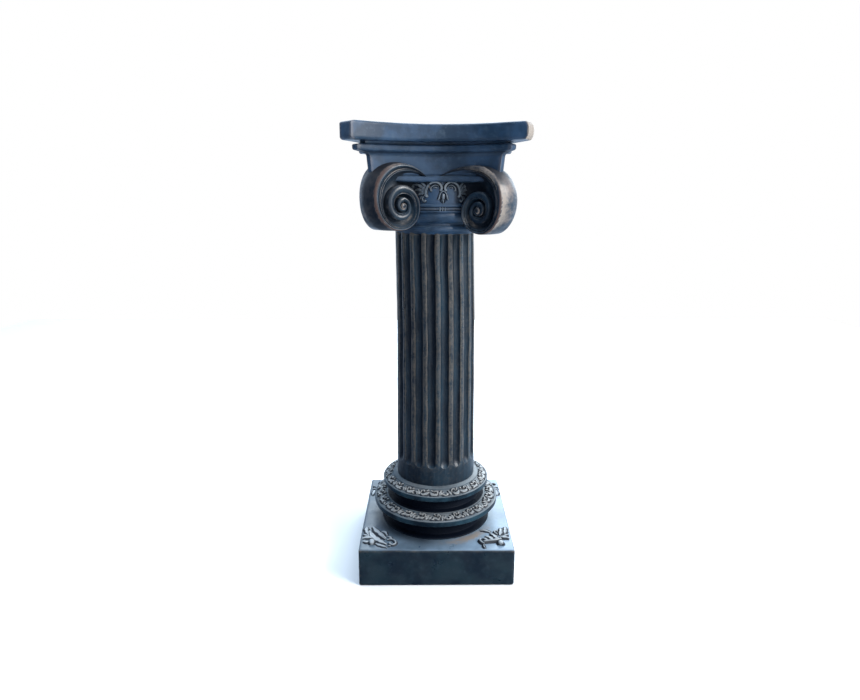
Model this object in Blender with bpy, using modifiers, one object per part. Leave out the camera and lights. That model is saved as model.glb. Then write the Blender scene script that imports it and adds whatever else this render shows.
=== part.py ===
"""Resin column: a short Ionic pedestal column, cast in one piece with its plinth and abacus.

The column stands on its underside with its axis on Z, and its front faces -Y.
All sizes below are millimetres; the meshes are written in metres.
"""

import math

import bmesh
import bpy
import numpy as np
from mathutils import Vector

MM = 0.001
COLUMN_NAME = "column"

# The whole column stands thirty inches high
HEIGHT = 762.0

# Plinth: a plain square slab with softened edges
PLINTH_WIDTH = 270.0
PLINTH_HEIGHT = 69.0
PLINTH_SOFTENING = 3.5

# Base mouldings: two rings with a hollow under each, and a band of leaves on top of each ring
RING_COLUMNS = 58
FOOT_RADIUS = 97.0
LOWER_RING_RADIUS = 116.0
LOWER_RING_UNDERSIDE = 99.0
LOWER_RING_EDGE = 110.0
LOWER_HOLLOW_RADIUS = 80.5
UPPER_RING_RADIUS = 98.5
UPPER_RING_UNDERSIDE = 137.0
UPPER_RING_EDGE = 147.5
LEAF_RELIEF = 2.6

# Shaft: nineteen flutes with round lower ends, running up under the astragal; one is centred at
# FLUTE_TURN from the front, towards +X
SHAFT_FOOT = 158.0
SHAFT_TOP = 604.0
SHAFT_FOOT_RADIUS = 72.5
SHAFT_TOP_RADIUS = 67.5
FLUTES = 19
FLUTE_FOOT = 190.0
FLUTE_DEPTH = 6.5
FLUTE_SHARE = 0.65
FLUTE_FLOOR_SHARE = 0.4
FLUTE_TURN = math.radians(12.1)

# Capital: the round core, from the astragal up to the panel of scrollwork
CORE_STEPS = 34
ASTRAGAL_RADIUS = 75.5
ECHINUS_RADIUS = 80.0
PANEL_RADIUS = 79.0
FILLET_RADIUS = 82.0
PANEL_FOOT = 645.0
PANEL_TOP = 680.0
MERGE_DISTANCE = 0.00005

# Capital: the hollow-sided fillet, block, band and abacus above the core
SIDE_POINTS = 7
BLOCK_SHIFT = -2.5
BAND_SHIFT = -5.0
BLOCK_FOOT = 689.0
BLOCK_TOP = 718.0
BAND_FOOT = 723.0
BAND_TOP = 731.0
ABACUS_FOOT = 736.0
ABACUS_CORNER = 143.0
ABACUS_CUT = 18.6
ABACUS_MIDDLE = 108.6
ABACUS_SOFTENING = 3.0
CHIP_SIZE = 40.0
CHIP_DEPTHS = ((12.0, 3.0, 12.0), (-9.0, 3.5, -20.0))

# Corner volutes: the radius of the outer edge at each quarter turn, from a quarter before the top
QUARTER = math.pi / 2
VOLUTE_START = math.radians(-38.0)
VOLUTE_TURNS = 2.5
VOLUTE_STEPS_PER_TURN = 14
BROAD_RADII = (52.0, 64.0, 45.5, 38.0, 29.5, 31.5, 24.0, 21.0, 14.0, 13.5, 9.0, 7.5, 6.0)
NARROW_RADII = (68.0, 66.5, 42.5, 37.5, 26.5, 28.5, 19.5, 19.5, 13.7, 13.5, 9.0, 7.5, 6.0)
EDGE_BAND_SHARE = 0.36
CANAL_SHARE = 0.82
CANAL_DEPTH = 5.0
CANAL_FULL_WIDTH = 20.0
LAST_WHORL_SHARE = 0.35
RIM_HOLLOW = 2.0
EYE_RISE = 2.0

# A volute's style: its radii, the eye's distance out along the diagonal and its height, the rim's distance
# out and half thickness, and how that half thickness grows inwards, per millimetre and per square millimetre
BROAD_VOLUTE = (BROAD_RADII, 105.5, 642.0, 150.0, 17.7, 0.268, 0.0)
NARROW_VOLUTE = (NARROW_RADII, 111.2, 635.0, 152.0, 18.9, -0.13, 0.0045)
VOLUTES = {(-1, -1): BROAD_VOLUTE, (1, -1): NARROW_VOLUTE, (1, 1): BROAD_VOLUTE, (-1, 1): NARROW_VOLUTE}

# Panels of scrollwork between the volutes
PANEL_SHIFT = 8.0
SCROLL_THICKNESS = 2.3
SCROLL_POINTS = 7
SCROLL_CENTRE = 15.0
SCROLL_SPRING = 664.0
SCROLL_HALF_SPAN = 11.5
SCROLL_RISE = 13.0
SCROLL_FROM = math.radians(-20)
SCROLL_SWEEP = math.radians(260)
CURL_FROM = 0.7
CURL_SHRINK = 0.35
PANEL_LEAF_ACROSS = (37.0, 47.0)
PANEL_LEAF_HEIGHT = (672.0, 677.0)
PANEL_LEAF = (22, 11, 4.0)
BUD_HEIGHT = 656.0
BUD = (15, 7, 3.5)
ARCH_POINTS = 6
ARCH_RADIUS = (7.0, 7.5)
ARCH_FROM = math.radians(-40)
ARCH_SWEEP = math.radians(260)
ARCH_THICKNESS = 1.6

# Leaf sprays on the four corners of the plinth
SPRAY_CORNER_GAP = 7.0
SPRAY_THICKNESS = 2.6
SPRAY_LENGTH = 64.0
SPRAY_STEM_POINTS = 6
SPRAY_LEAF = (19, 10, 3.6)
SPRAY_LEAVES = ((22, 18, 0.9), (39, 17, 0.5), (53, 14, 0.8))
SPRAY_BUD_PLACE = 9.0
SPRAY_BUD = (18, 12, 4.2)


def remove_start_objects():
    for item in list(bpy.data.objects):
        bpy.data.objects.remove(item, do_unlink=True)


def new_collection(name):
    collection = bpy.data.collections.new(name)
    bpy.context.scene.collection.children.link(collection)
    return collection


def resin_material():
    """Dark patinated bronze finish on cast resin."""
    material = bpy.data.materials.new("patinated_resin")
    material.use_nodes = True
    shader = material.node_tree.nodes["Principled BSDF"]
    shader.inputs["Base Color"].default_value = (0.045, 0.065, 0.078, 1.0)
    shader.inputs["Roughness"].default_value = 0.42
    shader.inputs["Metallic"].default_value = 0.15
    return material


def add_object(name, mesh, collection):
    item = bpy.data.objects.new(name, mesh)
    collection.objects.link(item)
    return item


def closed_mesh(name, vertices, faces):
    """Mesh from millimetre points, with every face turned outwards."""
    mesh = bpy.data.meshes.new(name)
    mesh.from_pydata((np.asarray(vertices) * MM).tolist(), [], faces)
    editable = bmesh.new()
    editable.from_mesh(mesh)
    bmesh.ops.recalc_face_normals(editable, faces=editable.faces)
    editable.to_mesh(mesh)
    editable.free()
    return mesh


def loft(name, sections, collection):
    """Closed solid through closed sections: an array of levels, points around and coordinates."""
    levels, columns = sections.shape[:2]
    faces = []
    for level in range(levels - 1):
        for column in range(columns):
            after = (column + 1) % columns
            low = level * columns
            high = low + columns
            faces.append((low + column, low + after, high + after, high + column))
    faces.append(tuple(range(columns)))
    faces.append(tuple(range((levels - 1) * columns, levels * columns)))
    return add_object(name, closed_mesh(name, sections.reshape(-1, 3), faces), collection)


def smooth_value(position, values):
    """Catmull-Rom curve through evenly spaced values, read at a position counted in spaces."""
    padded = [values[0], *values, values[-1]]
    index = min(max(int(math.floor(position)), 0), len(values) - 2)
    along = position - index
    before, start, end, after = padded[index:index + 4]
    slope = 0.5 * (end - before)
    bend = before - 2.5 * start + 2.0 * end - 0.5 * after
    twist = 0.5 * (after - before) + 1.5 * (start - end)
    return start + along * (slope + along * (bend + along * twist))


def plinth(collection):
    mesh = bpy.data.meshes.new("plinth")
    editable = bmesh.new()
    bmesh.ops.create_cube(editable, size=1.0)
    size = Vector((PLINTH_WIDTH, PLINTH_WIDTH, PLINTH_HEIGHT)) * MM
    bmesh.ops.scale(editable, verts=editable.verts, vec=size)
    bmesh.ops.translate(editable, verts=editable.verts, vec=(0, 0, PLINTH_HEIGHT * MM / 2))
    editable.to_mesh(mesh)
    editable.free()
    slab = add_object(COLUMN_NAME, mesh, collection)
    softening = slab.modifiers.new("softened edges", "BEVEL")
    softening.width = PLINTH_SOFTENING * MM
    softening.segments = 2
    return slab


def ring_profile():
    """Radius, height and leaf row of the base mouldings, from the plinth up to the shaft."""
    return (
        (FOOT_RADIUS, PLINTH_HEIGHT - 3, 0),
        (FOOT_RADIUS - 3.5, PLINTH_HEIGHT + 12, 0),
        (LOWER_RING_RADIUS - 9, LOWER_RING_UNDERSIDE - 1, 0),
        (LOWER_RING_RADIUS, LOWER_RING_UNDERSIDE + 4, 0),
        (LOWER_RING_RADIUS, LOWER_RING_EDGE - 2, 0),
        (LOWER_RING_RADIUS - 5, LOWER_RING_EDGE + 1.5, 0),
        (LOWER_RING_RADIUS - 13, LOWER_RING_EDGE + 3, 1),
        (LOWER_RING_RADIUS - 21, LOWER_RING_EDGE + 4.5, 2),
        (LOWER_HOLLOW_RADIUS + 5, LOWER_RING_EDGE + 6, 0),
        (LOWER_HOLLOW_RADIUS, LOWER_RING_EDGE + 15, 0),
        (UPPER_RING_RADIUS - 9, UPPER_RING_UNDERSIDE, 0),
        (UPPER_RING_RADIUS, UPPER_RING_UNDERSIDE + 4, 0),
        (UPPER_RING_RADIUS, UPPER_RING_EDGE - 2, 0),
        (UPPER_RING_RADIUS - 4, UPPER_RING_EDGE + 2, 0),
        (UPPER_RING_RADIUS - 10, UPPER_RING_EDGE + 4.5, 1),
        (UPPER_RING_RADIUS - 17, UPPER_RING_EDGE + 8, 2),
        (SHAFT_FOOT_RADIUS + 1, SHAFT_FOOT + 1, 0),
    )


def base_mouldings(collection):
    """The two rings as one turned shape; the leaves lean outwards, one to every two columns."""
    angles = np.arange(RING_COLUMNS) * 2 * math.pi / RING_COLUMNS
    odd = np.arange(RING_COLUMNS) % 2
    leaf_rows = {0: 0 * angles, 1: odd, 2: 1 - odd}
    sections = []
    for radius, height, row in ring_profile():
        rise = LEAF_RELIEF * leaf_rows[row]
        sections.append(np.stack([radius * np.cos(angles), radius * np.sin(angles), height + rise], axis=1))
    return loft("base mouldings", np.array(sections), collection)


def shaft(collection):
    """Fluted shaft: four points a flute, whose hollow opens from a round end at its foot."""
    across = np.array([-1.0, -FLUTE_FLOOR_SHARE, FLUTE_FLOOR_SHARE, 1.0])
    half = FLUTE_SHARE / 2
    pitch = 2 * math.pi / FLUTES
    half_width = half * pitch * SHAFT_FOOT_RADIUS
    ends = [(SHAFT_FOOT - 20, 1.0, 0.0), (FLUTE_FOOT - 3, 1.0, 0.0), (FLUTE_FOOT, 0.45, 0.0)]
    for share in (0.4, 1.0):
        opening = math.sqrt(1 - (1 - share) ** 2)
        ends.append((FLUTE_FOOT + share * half_width, opening, opening))
    ends.append((SHAFT_TOP, 1.0, 1.0))
    sections = []
    for height, opening, depth in ends:
        along = (height - SHAFT_FOOT) / (SHAFT_TOP - SHAFT_FOOT)
        radius = SHAFT_FOOT_RADIUS + (SHAFT_TOP_RADIUS - SHAFT_FOOT_RADIUS) * along
        centres = np.repeat(np.arange(FLUTES), len(across))
        angles = (centres + np.tile(across, FLUTES) * half * opening) * pitch + FLUTE_TURN - QUARTER
        radii = radius - FLUTE_DEPTH * depth * np.tile(1 - across ** 2, FLUTES)
        heights = np.full(angles.shape, height)
        sections.append(np.stack([radii * np.cos(angles), radii * np.sin(angles), heights], axis=1))
    return loft("shaft", np.array(sections), collection)


def turned(name, profile, steps, collection):
    """Solid of revolution from radius and height points, given from the top down."""
    mesh = bpy.data.meshes.new(name)
    points = [(radius * MM, 0, height * MM) for radius, height in profile]
    mesh.from_pydata(points, [(index, index + 1) for index in range(len(points) - 1)], [])
    item = add_object(name, mesh, collection)
    screw = item.modifiers.new("turned", "SCREW")
    screw.axis = "Z"
    screw.steps = steps
    screw.render_steps = steps
    screw.use_merge_vertices = True
    screw.merge_threshold = MERGE_DISTANCE
    return item


def capital_core(collection):
    """Panel drum, two fillets, echinus and astragal as one turned shape."""
    foot = PANEL_FOOT
    profile = (
        (0, PANEL_TOP + 12),
        (PANEL_RADIUS - 1, PANEL_TOP + 12),
        (PANEL_RADIUS - 1, foot + 0.5),
        (FILLET_RADIUS, foot),
        (FILLET_RADIUS, foot - 5),
        (FILLET_RADIUS - 2, foot - 6.5),
        (FILLET_RADIUS, foot - 8),
        (FILLET_RADIUS, foot - 12),
        (ECHINUS_RADIUS - 1, foot - 13.5),
        (ECHINUS_RADIUS, foot - 20),
        (ECHINUS_RADIUS - 3, foot - 27),
        (ASTRAGAL_RADIUS - 4, foot - 31),
        (ASTRAGAL_RADIUS, foot - 35),
        (ASTRAGAL_RADIUS, foot - 39),
        (ASTRAGAL_RADIUS - 3, foot - 43),
        (0, foot - 43),
    )
    return turned("capital core", profile, CORE_STEPS, collection)


def hollow_square(middle, corner, cut, shift, height):
    """Outline with four hollow sides and cut corners.

    Each side bows inwards as a parabola, from its cut corners to the middle distance.
    """
    along = np.linspace(-1, 1, SIDE_POINTS)
    half_length = corner - cut
    distance = middle + (corner - middle) * along ** 2
    side = np.stack([along * half_length, -distance], axis=1)
    outline = []
    for quarter in range(4):
        angle = quarter * QUARTER
        turn = np.array([[math.cos(angle), math.sin(angle)], [-math.sin(angle), math.cos(angle)]])
        outline.append(side @ turn)
    plan = np.concatenate(outline)
    return np.column_stack([plan[:, 0] + shift, plan[:, 1], np.full(len(plan), height)])


def capital_head(collection):
    """Fillet, block, cavetto, band and abacus as one stack of hollow-sided outlines.

    Each level gives its distance to the middle of a side and to the corner, how far the corner is cut
    back, its shift along X, and its height.
    """
    soft = ABACUS_SOFTENING
    stack = (
        (PANEL_RADIUS, 92, 6, 0, PANEL_TOP - 1),
        (PANEL_RADIUS + 4, 96, 6, 0, PANEL_TOP + 1),
        (PANEL_RADIUS + 4, 96, 6, 0, PANEL_TOP + 7),
        (PANEL_RADIUS - 1, 94, 6, BLOCK_SHIFT, BLOCK_FOOT - 1),
        (PANEL_RADIUS + 1, 102, 6, BLOCK_SHIFT, BLOCK_FOOT),
        (PANEL_RADIUS + 3, 105, 6, BLOCK_SHIFT, BLOCK_TOP),
        (PANEL_RADIUS + 8, 112, 7, BAND_SHIFT, BAND_FOOT),
        (PANEL_RADIUS + 14, 121.5, 8.5, BAND_SHIFT, BAND_FOOT + 3),
        (PANEL_RADIUS + 14, 121.5, 8.5, BAND_SHIFT, BAND_TOP),
        (PANEL_RADIUS + 11, 116, 8.5, BAND_SHIFT / 2, BAND_TOP + 1.5),
        (PANEL_RADIUS + 12, 118, 9, 0, ABACUS_FOOT),
        (ABACUS_MIDDLE - soft, ABACUS_CORNER - soft, ABACUS_CUT, 0, ABACUS_FOOT),
        (ABACUS_MIDDLE, ABACUS_CORNER, ABACUS_CUT, 0, ABACUS_FOOT + soft),
        (ABACUS_MIDDLE, ABACUS_CORNER, ABACUS_CUT, 0, HEIGHT - soft),
        (ABACUS_MIDDLE - soft, ABACUS_CORNER - soft, ABACUS_CUT, 0, HEIGHT),
    )
    sections = np.array([hollow_square(*level) for level in stack])
    return loft("capital head", sections, collection)


def volute(name, corner, style, collection):
    """Corner volute: two spiral faces that close on a shared rim facing the diagonal.

    A face point lies at diagonal distance d = eye + r sin(turn) and height eye + r cos(turn), and stands
    off the diagonal plane by half the thickness there, which bows wider towards the core. Across a whorl
    the face has three rows: its edge, the inner side of its edge band, and the floor of its canal. The
    edge of the whorl one turn further in closes the canal.
    """
    side_x, side_y = corner
    radii, eye_out, eye_height, edge_out, edge_half, slope, bow = style
    diagonal = np.array([side_x, side_y, 0.0]) / math.sqrt(2)
    crosswise = np.array([-side_y, side_x, 0.0]) / math.sqrt(2)
    per_turn = VOLUTE_STEPS_PER_TURN
    steps = int(round(VOLUTE_TURNS * per_turn))

    def edge_radius(turn):
        return smooth_value(turn / QUARTER + 1, radii)

    def face_point(face, turn, radius, sunk):
        out = eye_out + radius * math.sin(turn)
        inward = edge_out - out
        half = edge_half + slope * inward + bow * inward ** 2 - sunk
        height = np.array([0, 0, eye_height + radius * math.cos(turn)])
        return diagonal * out + crosswise * face * half + height

    vertices = []
    faces = []
    rows = 3
    start_of = {}
    for face in (1, -1):
        start_of[face] = len(vertices)
        for step in range(steps + 1):
            turn = VOLUTE_START + step * 2 * math.pi / per_turn
            outer = edge_radius(turn)
            inner = edge_radius(turn + 2 * math.pi) if step + per_turn <= steps else outer * LAST_WHORL_SHARE
            wide = outer - inner
            raised = -EYE_RISE * step / steps
            sunk = raised + CANAL_DEPTH * wide / CANAL_FULL_WIDTH
            vertices.append(face_point(face, turn, outer, raised))
            vertices.append(face_point(face, turn, outer - EDGE_BAND_SHARE * wide, raised))
            vertices.append(face_point(face, turn, outer - CANAL_SHARE * wide, sunk))
        vertices.append(face_point(face, 0.0, 0.0, -EYE_RISE))

    def at(face, step, row):
        return start_of[face] + step * rows + row

    for face in (1, -1):
        eye = start_of[face] + (steps + 1) * rows
        for step in range(steps):
            for row in range(rows - 1):
                faces.append((at(face, step, row), at(face, step + 1, row),
                              at(face, step + 1, row + 1), at(face, step, row + 1)))
            if step + 1 + per_turn <= steps:
                faces.append((at(face, step, 2), at(face, step + 1, 2),
                              at(face, step + 1 + per_turn, 0), at(face, step + per_turn, 0)))
            elif step + per_turn == steps:
                faces.append((at(face, step, 2), at(face, step + 1, 2), at(face, steps, 0)))
                faces.append((at(face, steps, 0), at(face, step + 1, 2), at(face, steps, 1)))
                faces.append((at(face, steps, 1), at(face, step + 1, 2), at(face, steps, 2)))
                faces.append((at(face, steps, 2), at(face, step + 1, 2), eye))
            else:
                faces.append((at(face, step, 2), at(face, step + 1, 2), eye))

    rim_start = len(vertices)
    for step in range(per_turn + 1):
        turn = VOLUTE_START + step * 2 * math.pi / per_turn
        radius = edge_radius(turn) - RIM_HOLLOW
        out = eye_out + radius * math.sin(turn)
        vertices.append(diagonal * out + np.array([0, 0, eye_height + radius * math.cos(turn)]))
    for step in range(per_turn):
        for face in (1, -1):
            faces.append((at(face, step, 0), at(face, step + 1, 0), rim_start + step + 1, rim_start + step))
    start_wall = [at(1, 0, row) for row in range(rows)] + [at(1, per_turn, 0), rim_start + per_turn]
    start_wall += [at(-1, per_turn, 0)] + [at(-1, 0, row) for row in reversed(range(rows))] + [rim_start]
    faces.append(tuple(start_wall))
    return add_object(name, closed_mesh(name, vertices, faces), collection)


def tube(name, points, thickness, radii, collection):
    """Closed tube along millimetre points, made from a bevelled curve with capped ends."""
    curve = bpy.data.curves.new(name, "CURVE")
    curve.dimensions = "3D"
    curve.bevel_depth = thickness * MM
    curve.bevel_resolution = 0
    curve.use_fill_caps = True
    spline = curve.splines.new("POLY")
    spline.points.add(len(points) - 1)
    for point, place, radius in zip(spline.points, points, radii):
        point.co = (*(np.asarray(place) * MM), 1.0)
        point.radius = radius
    guide = add_object(name + " guide", curve, collection)
    bpy.context.view_layer.update()
    depsgraph = bpy.context.evaluated_depsgraph_get()
    mesh = bpy.data.meshes.new_from_object(guide.evaluated_get(depsgraph))
    bpy.data.objects.remove(guide, do_unlink=True)
    editable = bmesh.new()
    editable.from_mesh(mesh)
    bmesh.ops.remove_doubles(editable, verts=editable.verts, dist=MERGE_DISTANCE)
    bmesh.ops.recalc_face_normals(editable, faces=editable.faces)
    editable.to_mesh(mesh)
    editable.free()
    return add_object(name, mesh, collection)


def laid_down(name, editable, place, direction, normal, size, collection):
    """Stretch a shape of unit radius to a length, width and rise, and lay it down along its direction."""
    length, width, rise = size
    along = Vector(direction).normalized()
    up = Vector(normal).normalized()
    across = up.cross(along).normalized()
    for vertex in editable.verts:
        local = vertex.co.copy()
        spot = along * local.x * length / 2 + across * local.y * width / 2 + up * local.z * rise
        vertex.co = (Vector(place) + spot) * MM
    mesh = bpy.data.meshes.new(name)
    editable.to_mesh(mesh)
    editable.free()
    return add_object(name, mesh, collection)


def leaf(name, place, direction, normal, size, collection):
    """Pointed leaf, whose six sides rise to the middle from just below the surface."""
    editable = bmesh.new()
    bmesh.ops.create_cone(editable, cap_ends=True, segments=6, radius1=1.0, radius2=0.0, depth=1.3)
    bmesh.ops.translate(editable, verts=editable.verts, vec=(0, 0, 0.35))
    return laid_down(name, editable, place, direction, normal, size, collection)


def bud(name, place, direction, normal, size, collection):
    """Rounded bud of twenty faces."""
    editable = bmesh.new()
    bmesh.ops.create_icosphere(editable, subdivisions=1, radius=1.0)
    return laid_down(name, editable, place, direction, normal, size, collection)


def on_panel(side, across, height, proud):
    """Point on the panel's round face: side counts quarter turns from the front."""
    angle = -QUARTER + side * QUARTER + across / PANEL_RADIUS
    radius = PANEL_RADIUS - 1 + proud
    return np.array([radius * math.cos(angle), radius * math.sin(angle), height])


def panel_scrolls(side, collection):
    """Two arching scrolls that hang either side of a bud under a small arch, with a leaf at each end."""
    shift = PANEL_SHIFT if side == 0 else 0.0
    for hand in (-1, 1):
        points = []
        radii = []
        for index in range(SCROLL_POINTS):
            share = index / (SCROLL_POINTS - 1)
            turn = SCROLL_FROM + SCROLL_SWEEP * share
            curl = 1.0 - CURL_SHRINK * max(0.0, share - CURL_FROM) / (1 - CURL_FROM)
            across = SCROLL_CENTRE - SCROLL_HALF_SPAN * curl * math.cos(turn)
            height = SCROLL_SPRING + SCROLL_RISE * curl * math.sin(turn)
            points.append(on_panel(side, shift + hand * across, height, 0.8))
            radii.append(1.15 - 0.4 * abs(share - 0.3))
        tube(f"scroll {side} {hand}", points, SCROLL_THICKNESS, radii, collection)
        spot, tip = [on_panel(side, shift + hand * across, height, 0.5)
                     for across, height in zip(PANEL_LEAF_ACROSS, PANEL_LEAF_HEIGHT)]
        outward = (spot[0], spot[1], 0)
        leaf(f"panel leaf {side} {hand}", spot, tip - spot, outward, PANEL_LEAF, collection)
    arch = []
    for index in range(ARCH_POINTS):
        turn = ARCH_FROM + ARCH_SWEEP * index / (ARCH_POINTS - 1)
        across = shift + ARCH_RADIUS[0] * math.cos(turn)
        arch.append(on_panel(side, across, BUD_HEIGHT + 2 + ARCH_RADIUS[1] * math.sin(turn), 0.5))
    tube(f"panel arch {side}", arch, ARCH_THICKNESS, [1.0] * len(arch), collection)
    spot = on_panel(side, shift, BUD_HEIGHT, 0.8)
    bud(f"panel bud {side}", spot, (0, 0, 1), (spot[0], spot[1], 0), BUD, collection)


def corner_spray(corner, collection):
    """Leaf spray in a corner of the plinth: a curling stem along each side and leaves between.

    Each leaf is given by its distances from the corner, along the side and inwards, and by its lean.
    """
    side_x, side_y = corner
    tip = PLINTH_WIDTH / 2 - SPRAY_CORNER_GAP
    top = PLINTH_HEIGHT + 0.6

    def place(along, inward, swapped):
        first, second = tip - along, tip - inward
        if swapped:
            first, second = second, first
        return np.array([side_x * first, side_y * second, top])

    for swapped in (False, True):
        points = []
        for index in range(SPRAY_STEM_POINTS):
            share = index / (SPRAY_STEM_POINTS - 1)
            along = 4 + (SPRAY_LENGTH - 8) * share
            inward = 3 + 9 * math.sin(math.pi * 1.25 * share) ** 2
            points.append(place(along, inward, swapped))
        taper = [1.15 - 0.08 * index for index in range(len(points))]
        tube(f"spray stem {corner} {swapped}", points, SPRAY_THICKNESS, taper, collection)
        for along, inward, lean in SPRAY_LEAVES:
            spot = place(along, inward, swapped)
            ahead = place(along + 10, inward + 10 * lean, swapped)
            name = f"spray leaf {corner} {swapped} {along}"
            leaf(name, spot, ahead - spot, (0, 0, 1), SPRAY_LEAF, collection)
    spot = place(SPRAY_BUD_PLACE, SPRAY_BUD_PLACE, False)
    ahead = place(0, 0, False)
    bud(f"spray bud {corner}", spot, ahead - spot, (0, 0, 1), SPRAY_BUD, collection)


def chip_cutters(collection):
    """Slanted blocks that take the worn break off the front right corner of the abacus.

    Each is given by its height from the middle of the abacus edge, its depth and its tilt.
    """
    reach = (2 * ABACUS_CORNER - ABACUS_CUT) / math.sqrt(2)
    middle = (HEIGHT + ABACUS_FOOT) / 2
    for height, depth, tilt in CHIP_DEPTHS:
        mesh = bpy.data.meshes.new("chip")
        editable = bmesh.new()
        bmesh.ops.create_cube(editable, size=CHIP_SIZE * MM)
        editable.to_mesh(mesh)
        editable.free()
        cutter = add_object("chip", mesh, collection)
        out = Vector((1, -1, 0)).normalized()
        cutter.rotation_euler = (0, math.radians(-tilt), math.radians(-45))
        centre = out * (reach - depth + CHIP_SIZE / 2) + Vector((0, 0, middle + height))
        cutter.location = centre * MM


def as_guide(items):
    for item in items:
        item.hide_render = True
        item.display_type = "WIRE"


def build_column():
    parts = new_collection("resin column")
    shapes = new_collection("shapes joined into the column")
    cutters = new_collection("cutters")
    column = plinth(parts)
    base_mouldings(shapes)
    shaft(shapes)
    capital_core(shapes)
    capital_head(shapes)
    for corner, style in VOLUTES.items():
        volute(f"volute {corner}", corner, style, shapes)
        corner_spray(corner, shapes)
    for side in range(4):
        panel_scrolls(side, shapes)
    chip_cutters(cutters)

    joined = column.modifiers.new("joined shapes", "BOOLEAN")
    joined.operation = "UNION"
    joined.solver = "EXACT"
    joined.operand_type = "COLLECTION"
    joined.collection = shapes
    chipped = column.modifiers.new("chipped corner", "BOOLEAN")
    chipped.operation = "DIFFERENCE"
    chipped.solver = "EXACT"
    chipped.operand_type = "COLLECTION"
    chipped.collection = cutters
    as_guide(list(shapes.objects) + list(cutters.objects))
    column.data.materials.append(resin_material())
    return column


remove_start_objects()
build_column()
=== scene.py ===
"""The resin column as it looks: fine carving, patina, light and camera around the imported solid.

Sizes are millimetres, as on the solid, and points become metres when they enter a mesh.
Angles on the column count from the front, which faces -Y, towards +X.
"""

import math

import bmesh
import bpy
import numpy as np
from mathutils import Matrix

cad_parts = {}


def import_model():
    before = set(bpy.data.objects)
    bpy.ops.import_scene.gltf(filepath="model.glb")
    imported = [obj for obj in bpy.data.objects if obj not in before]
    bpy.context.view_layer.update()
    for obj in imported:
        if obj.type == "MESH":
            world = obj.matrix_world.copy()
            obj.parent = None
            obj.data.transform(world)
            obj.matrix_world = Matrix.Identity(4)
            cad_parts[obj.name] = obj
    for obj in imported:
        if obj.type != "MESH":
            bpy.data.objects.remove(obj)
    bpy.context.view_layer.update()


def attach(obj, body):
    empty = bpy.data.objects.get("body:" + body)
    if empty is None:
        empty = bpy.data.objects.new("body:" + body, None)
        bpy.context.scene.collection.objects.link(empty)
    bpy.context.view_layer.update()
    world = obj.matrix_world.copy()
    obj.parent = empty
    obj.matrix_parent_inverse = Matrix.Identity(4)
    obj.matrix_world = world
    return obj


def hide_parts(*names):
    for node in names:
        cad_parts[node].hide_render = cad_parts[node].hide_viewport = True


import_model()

# A millimetre in metres, a quarter turn, and the way up
MM = 0.001
QUARTER = math.pi / 2
UPRIGHT = np.array([0, 0, 1.0])

# Camera: place in metres, angles in degrees, lens and sensor in millimetres
CAMERA_PLACE = (-0.0167, -1.027, 0.644)
CAMERA_DOWN = 13.91
CAMERA_TURN = -0.34
CAMERA_LENS = 24.52
CAMERA_SENSOR = 36.0

# Points closer than this, in metres, are merged
WELD = 0.000004

# Farthest that a neighbouring point counts as near, when worn and sunk places are marked, and the height
# over which raised places set in above a piece's lowest one
LONGEST_NEAR = 7.0
RAISED_FADE = 8.0

# Section of a relief: the points around it, how high its foot stands, the width of its crease, and the
# shares of its height below which the dark fringe and the painted shade and grime set in, with their fades
RELIEF_AROUND = 14
RELIEF_FOOT = 0.12
CREASE_WIDTH = 0.3
FRINGE_FROM = 0.24
FRINGE_FADE = 0.2
SHADE_AND_GRIME_FROM = 0.80
SHADE_AND_GRIME_FADE = 0.42

# Ridges and leaves: the share of a ridge that closes at each end, its height where it is thinnest, and how
# deep the lobes of a leaf are nicked, up to which share along it
RIDGE_END = 0.1
THINNEST_HEIGHT = 0.35
LOBE_NICK = 0.28
LOBES_END = 0.92

# Columns around a turned piece, and waves that make a surface uneven
TURNED_COLUMNS = 300
WAVES = 6

# Plinth: size, softness of its edges and corners, spacing of its points, and how its top dips and tilts
PLINTH_HALF = 135.0
PLINTH_HEIGHT = 69.0
PLINTH_SOFTENING = 3.5
PLINTH_CORNER = 3.0
PLINTH_SPACING = 3.0
PLINTH_DIP = 0.35
PLINTH_TILT = 0.003

# Rubbed patch at the right: its distance from the axis on the plinth's top, and its angle from the front,
# from which warm light is also painted on the right ends of the rings' hollows
RUBBED_RADIUS = 112.0
RUBBED_AND_LIT_SIDE = 34.0

# Shaft, and where and how far its top leans aside
SHAFT_FOOT = 150.0
SHAFT_TOP = 606.0
SHAFT_FOOT_RADIUS = 72.0
SHAFT_TOP_RADIUS = 67.5
SHAFT_LEAN_FROM = 430.0
SHAFT_LEAN = -2.6

# Flutes: their share of the pitch, the turn of one beside the front, and how full their section is
FLUTES = 19
FLUTE_SHARE = 0.65
FLUTE_TURN = math.radians(12.1)
FLUTE_DEPTH = 5.6
FLUTE_FULLNESS = 0.58
LAND_ROUND = 1.1
FLUTE_PITCH = 2 * math.pi / FLUTES
FLUTE_HALF_WIDTH = FLUTE_SHARE * math.pi / FLUTES * SHAFT_FOOT_RADIUS

# Feet of the flutes: the heights over which they round out and deepen, the height below them from which
# the columns close up, and how close these come
FLUTE_FOOT = 190.0
FLUTE_ROUND = 1.1 * FLUTE_HALF_WIDTH
FLUTE_SCOOP = 1.8 * FLUTE_HALF_WIDTH
COLUMNS_SPREAD_FROM = 178.0
COLUMNS_CLOSEST = 0.03

# Scroll panels: the front one's shift, the heights between which the drum is painted dark with shade behind
# the leaves, and the half width that stays clear in the middle
PANEL_RADIUS = 78.0
PANEL_SHIFT = 9.5
PANEL_DARK = (646.0, 682.0)
PANEL_MIDDLE = 21.0

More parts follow.
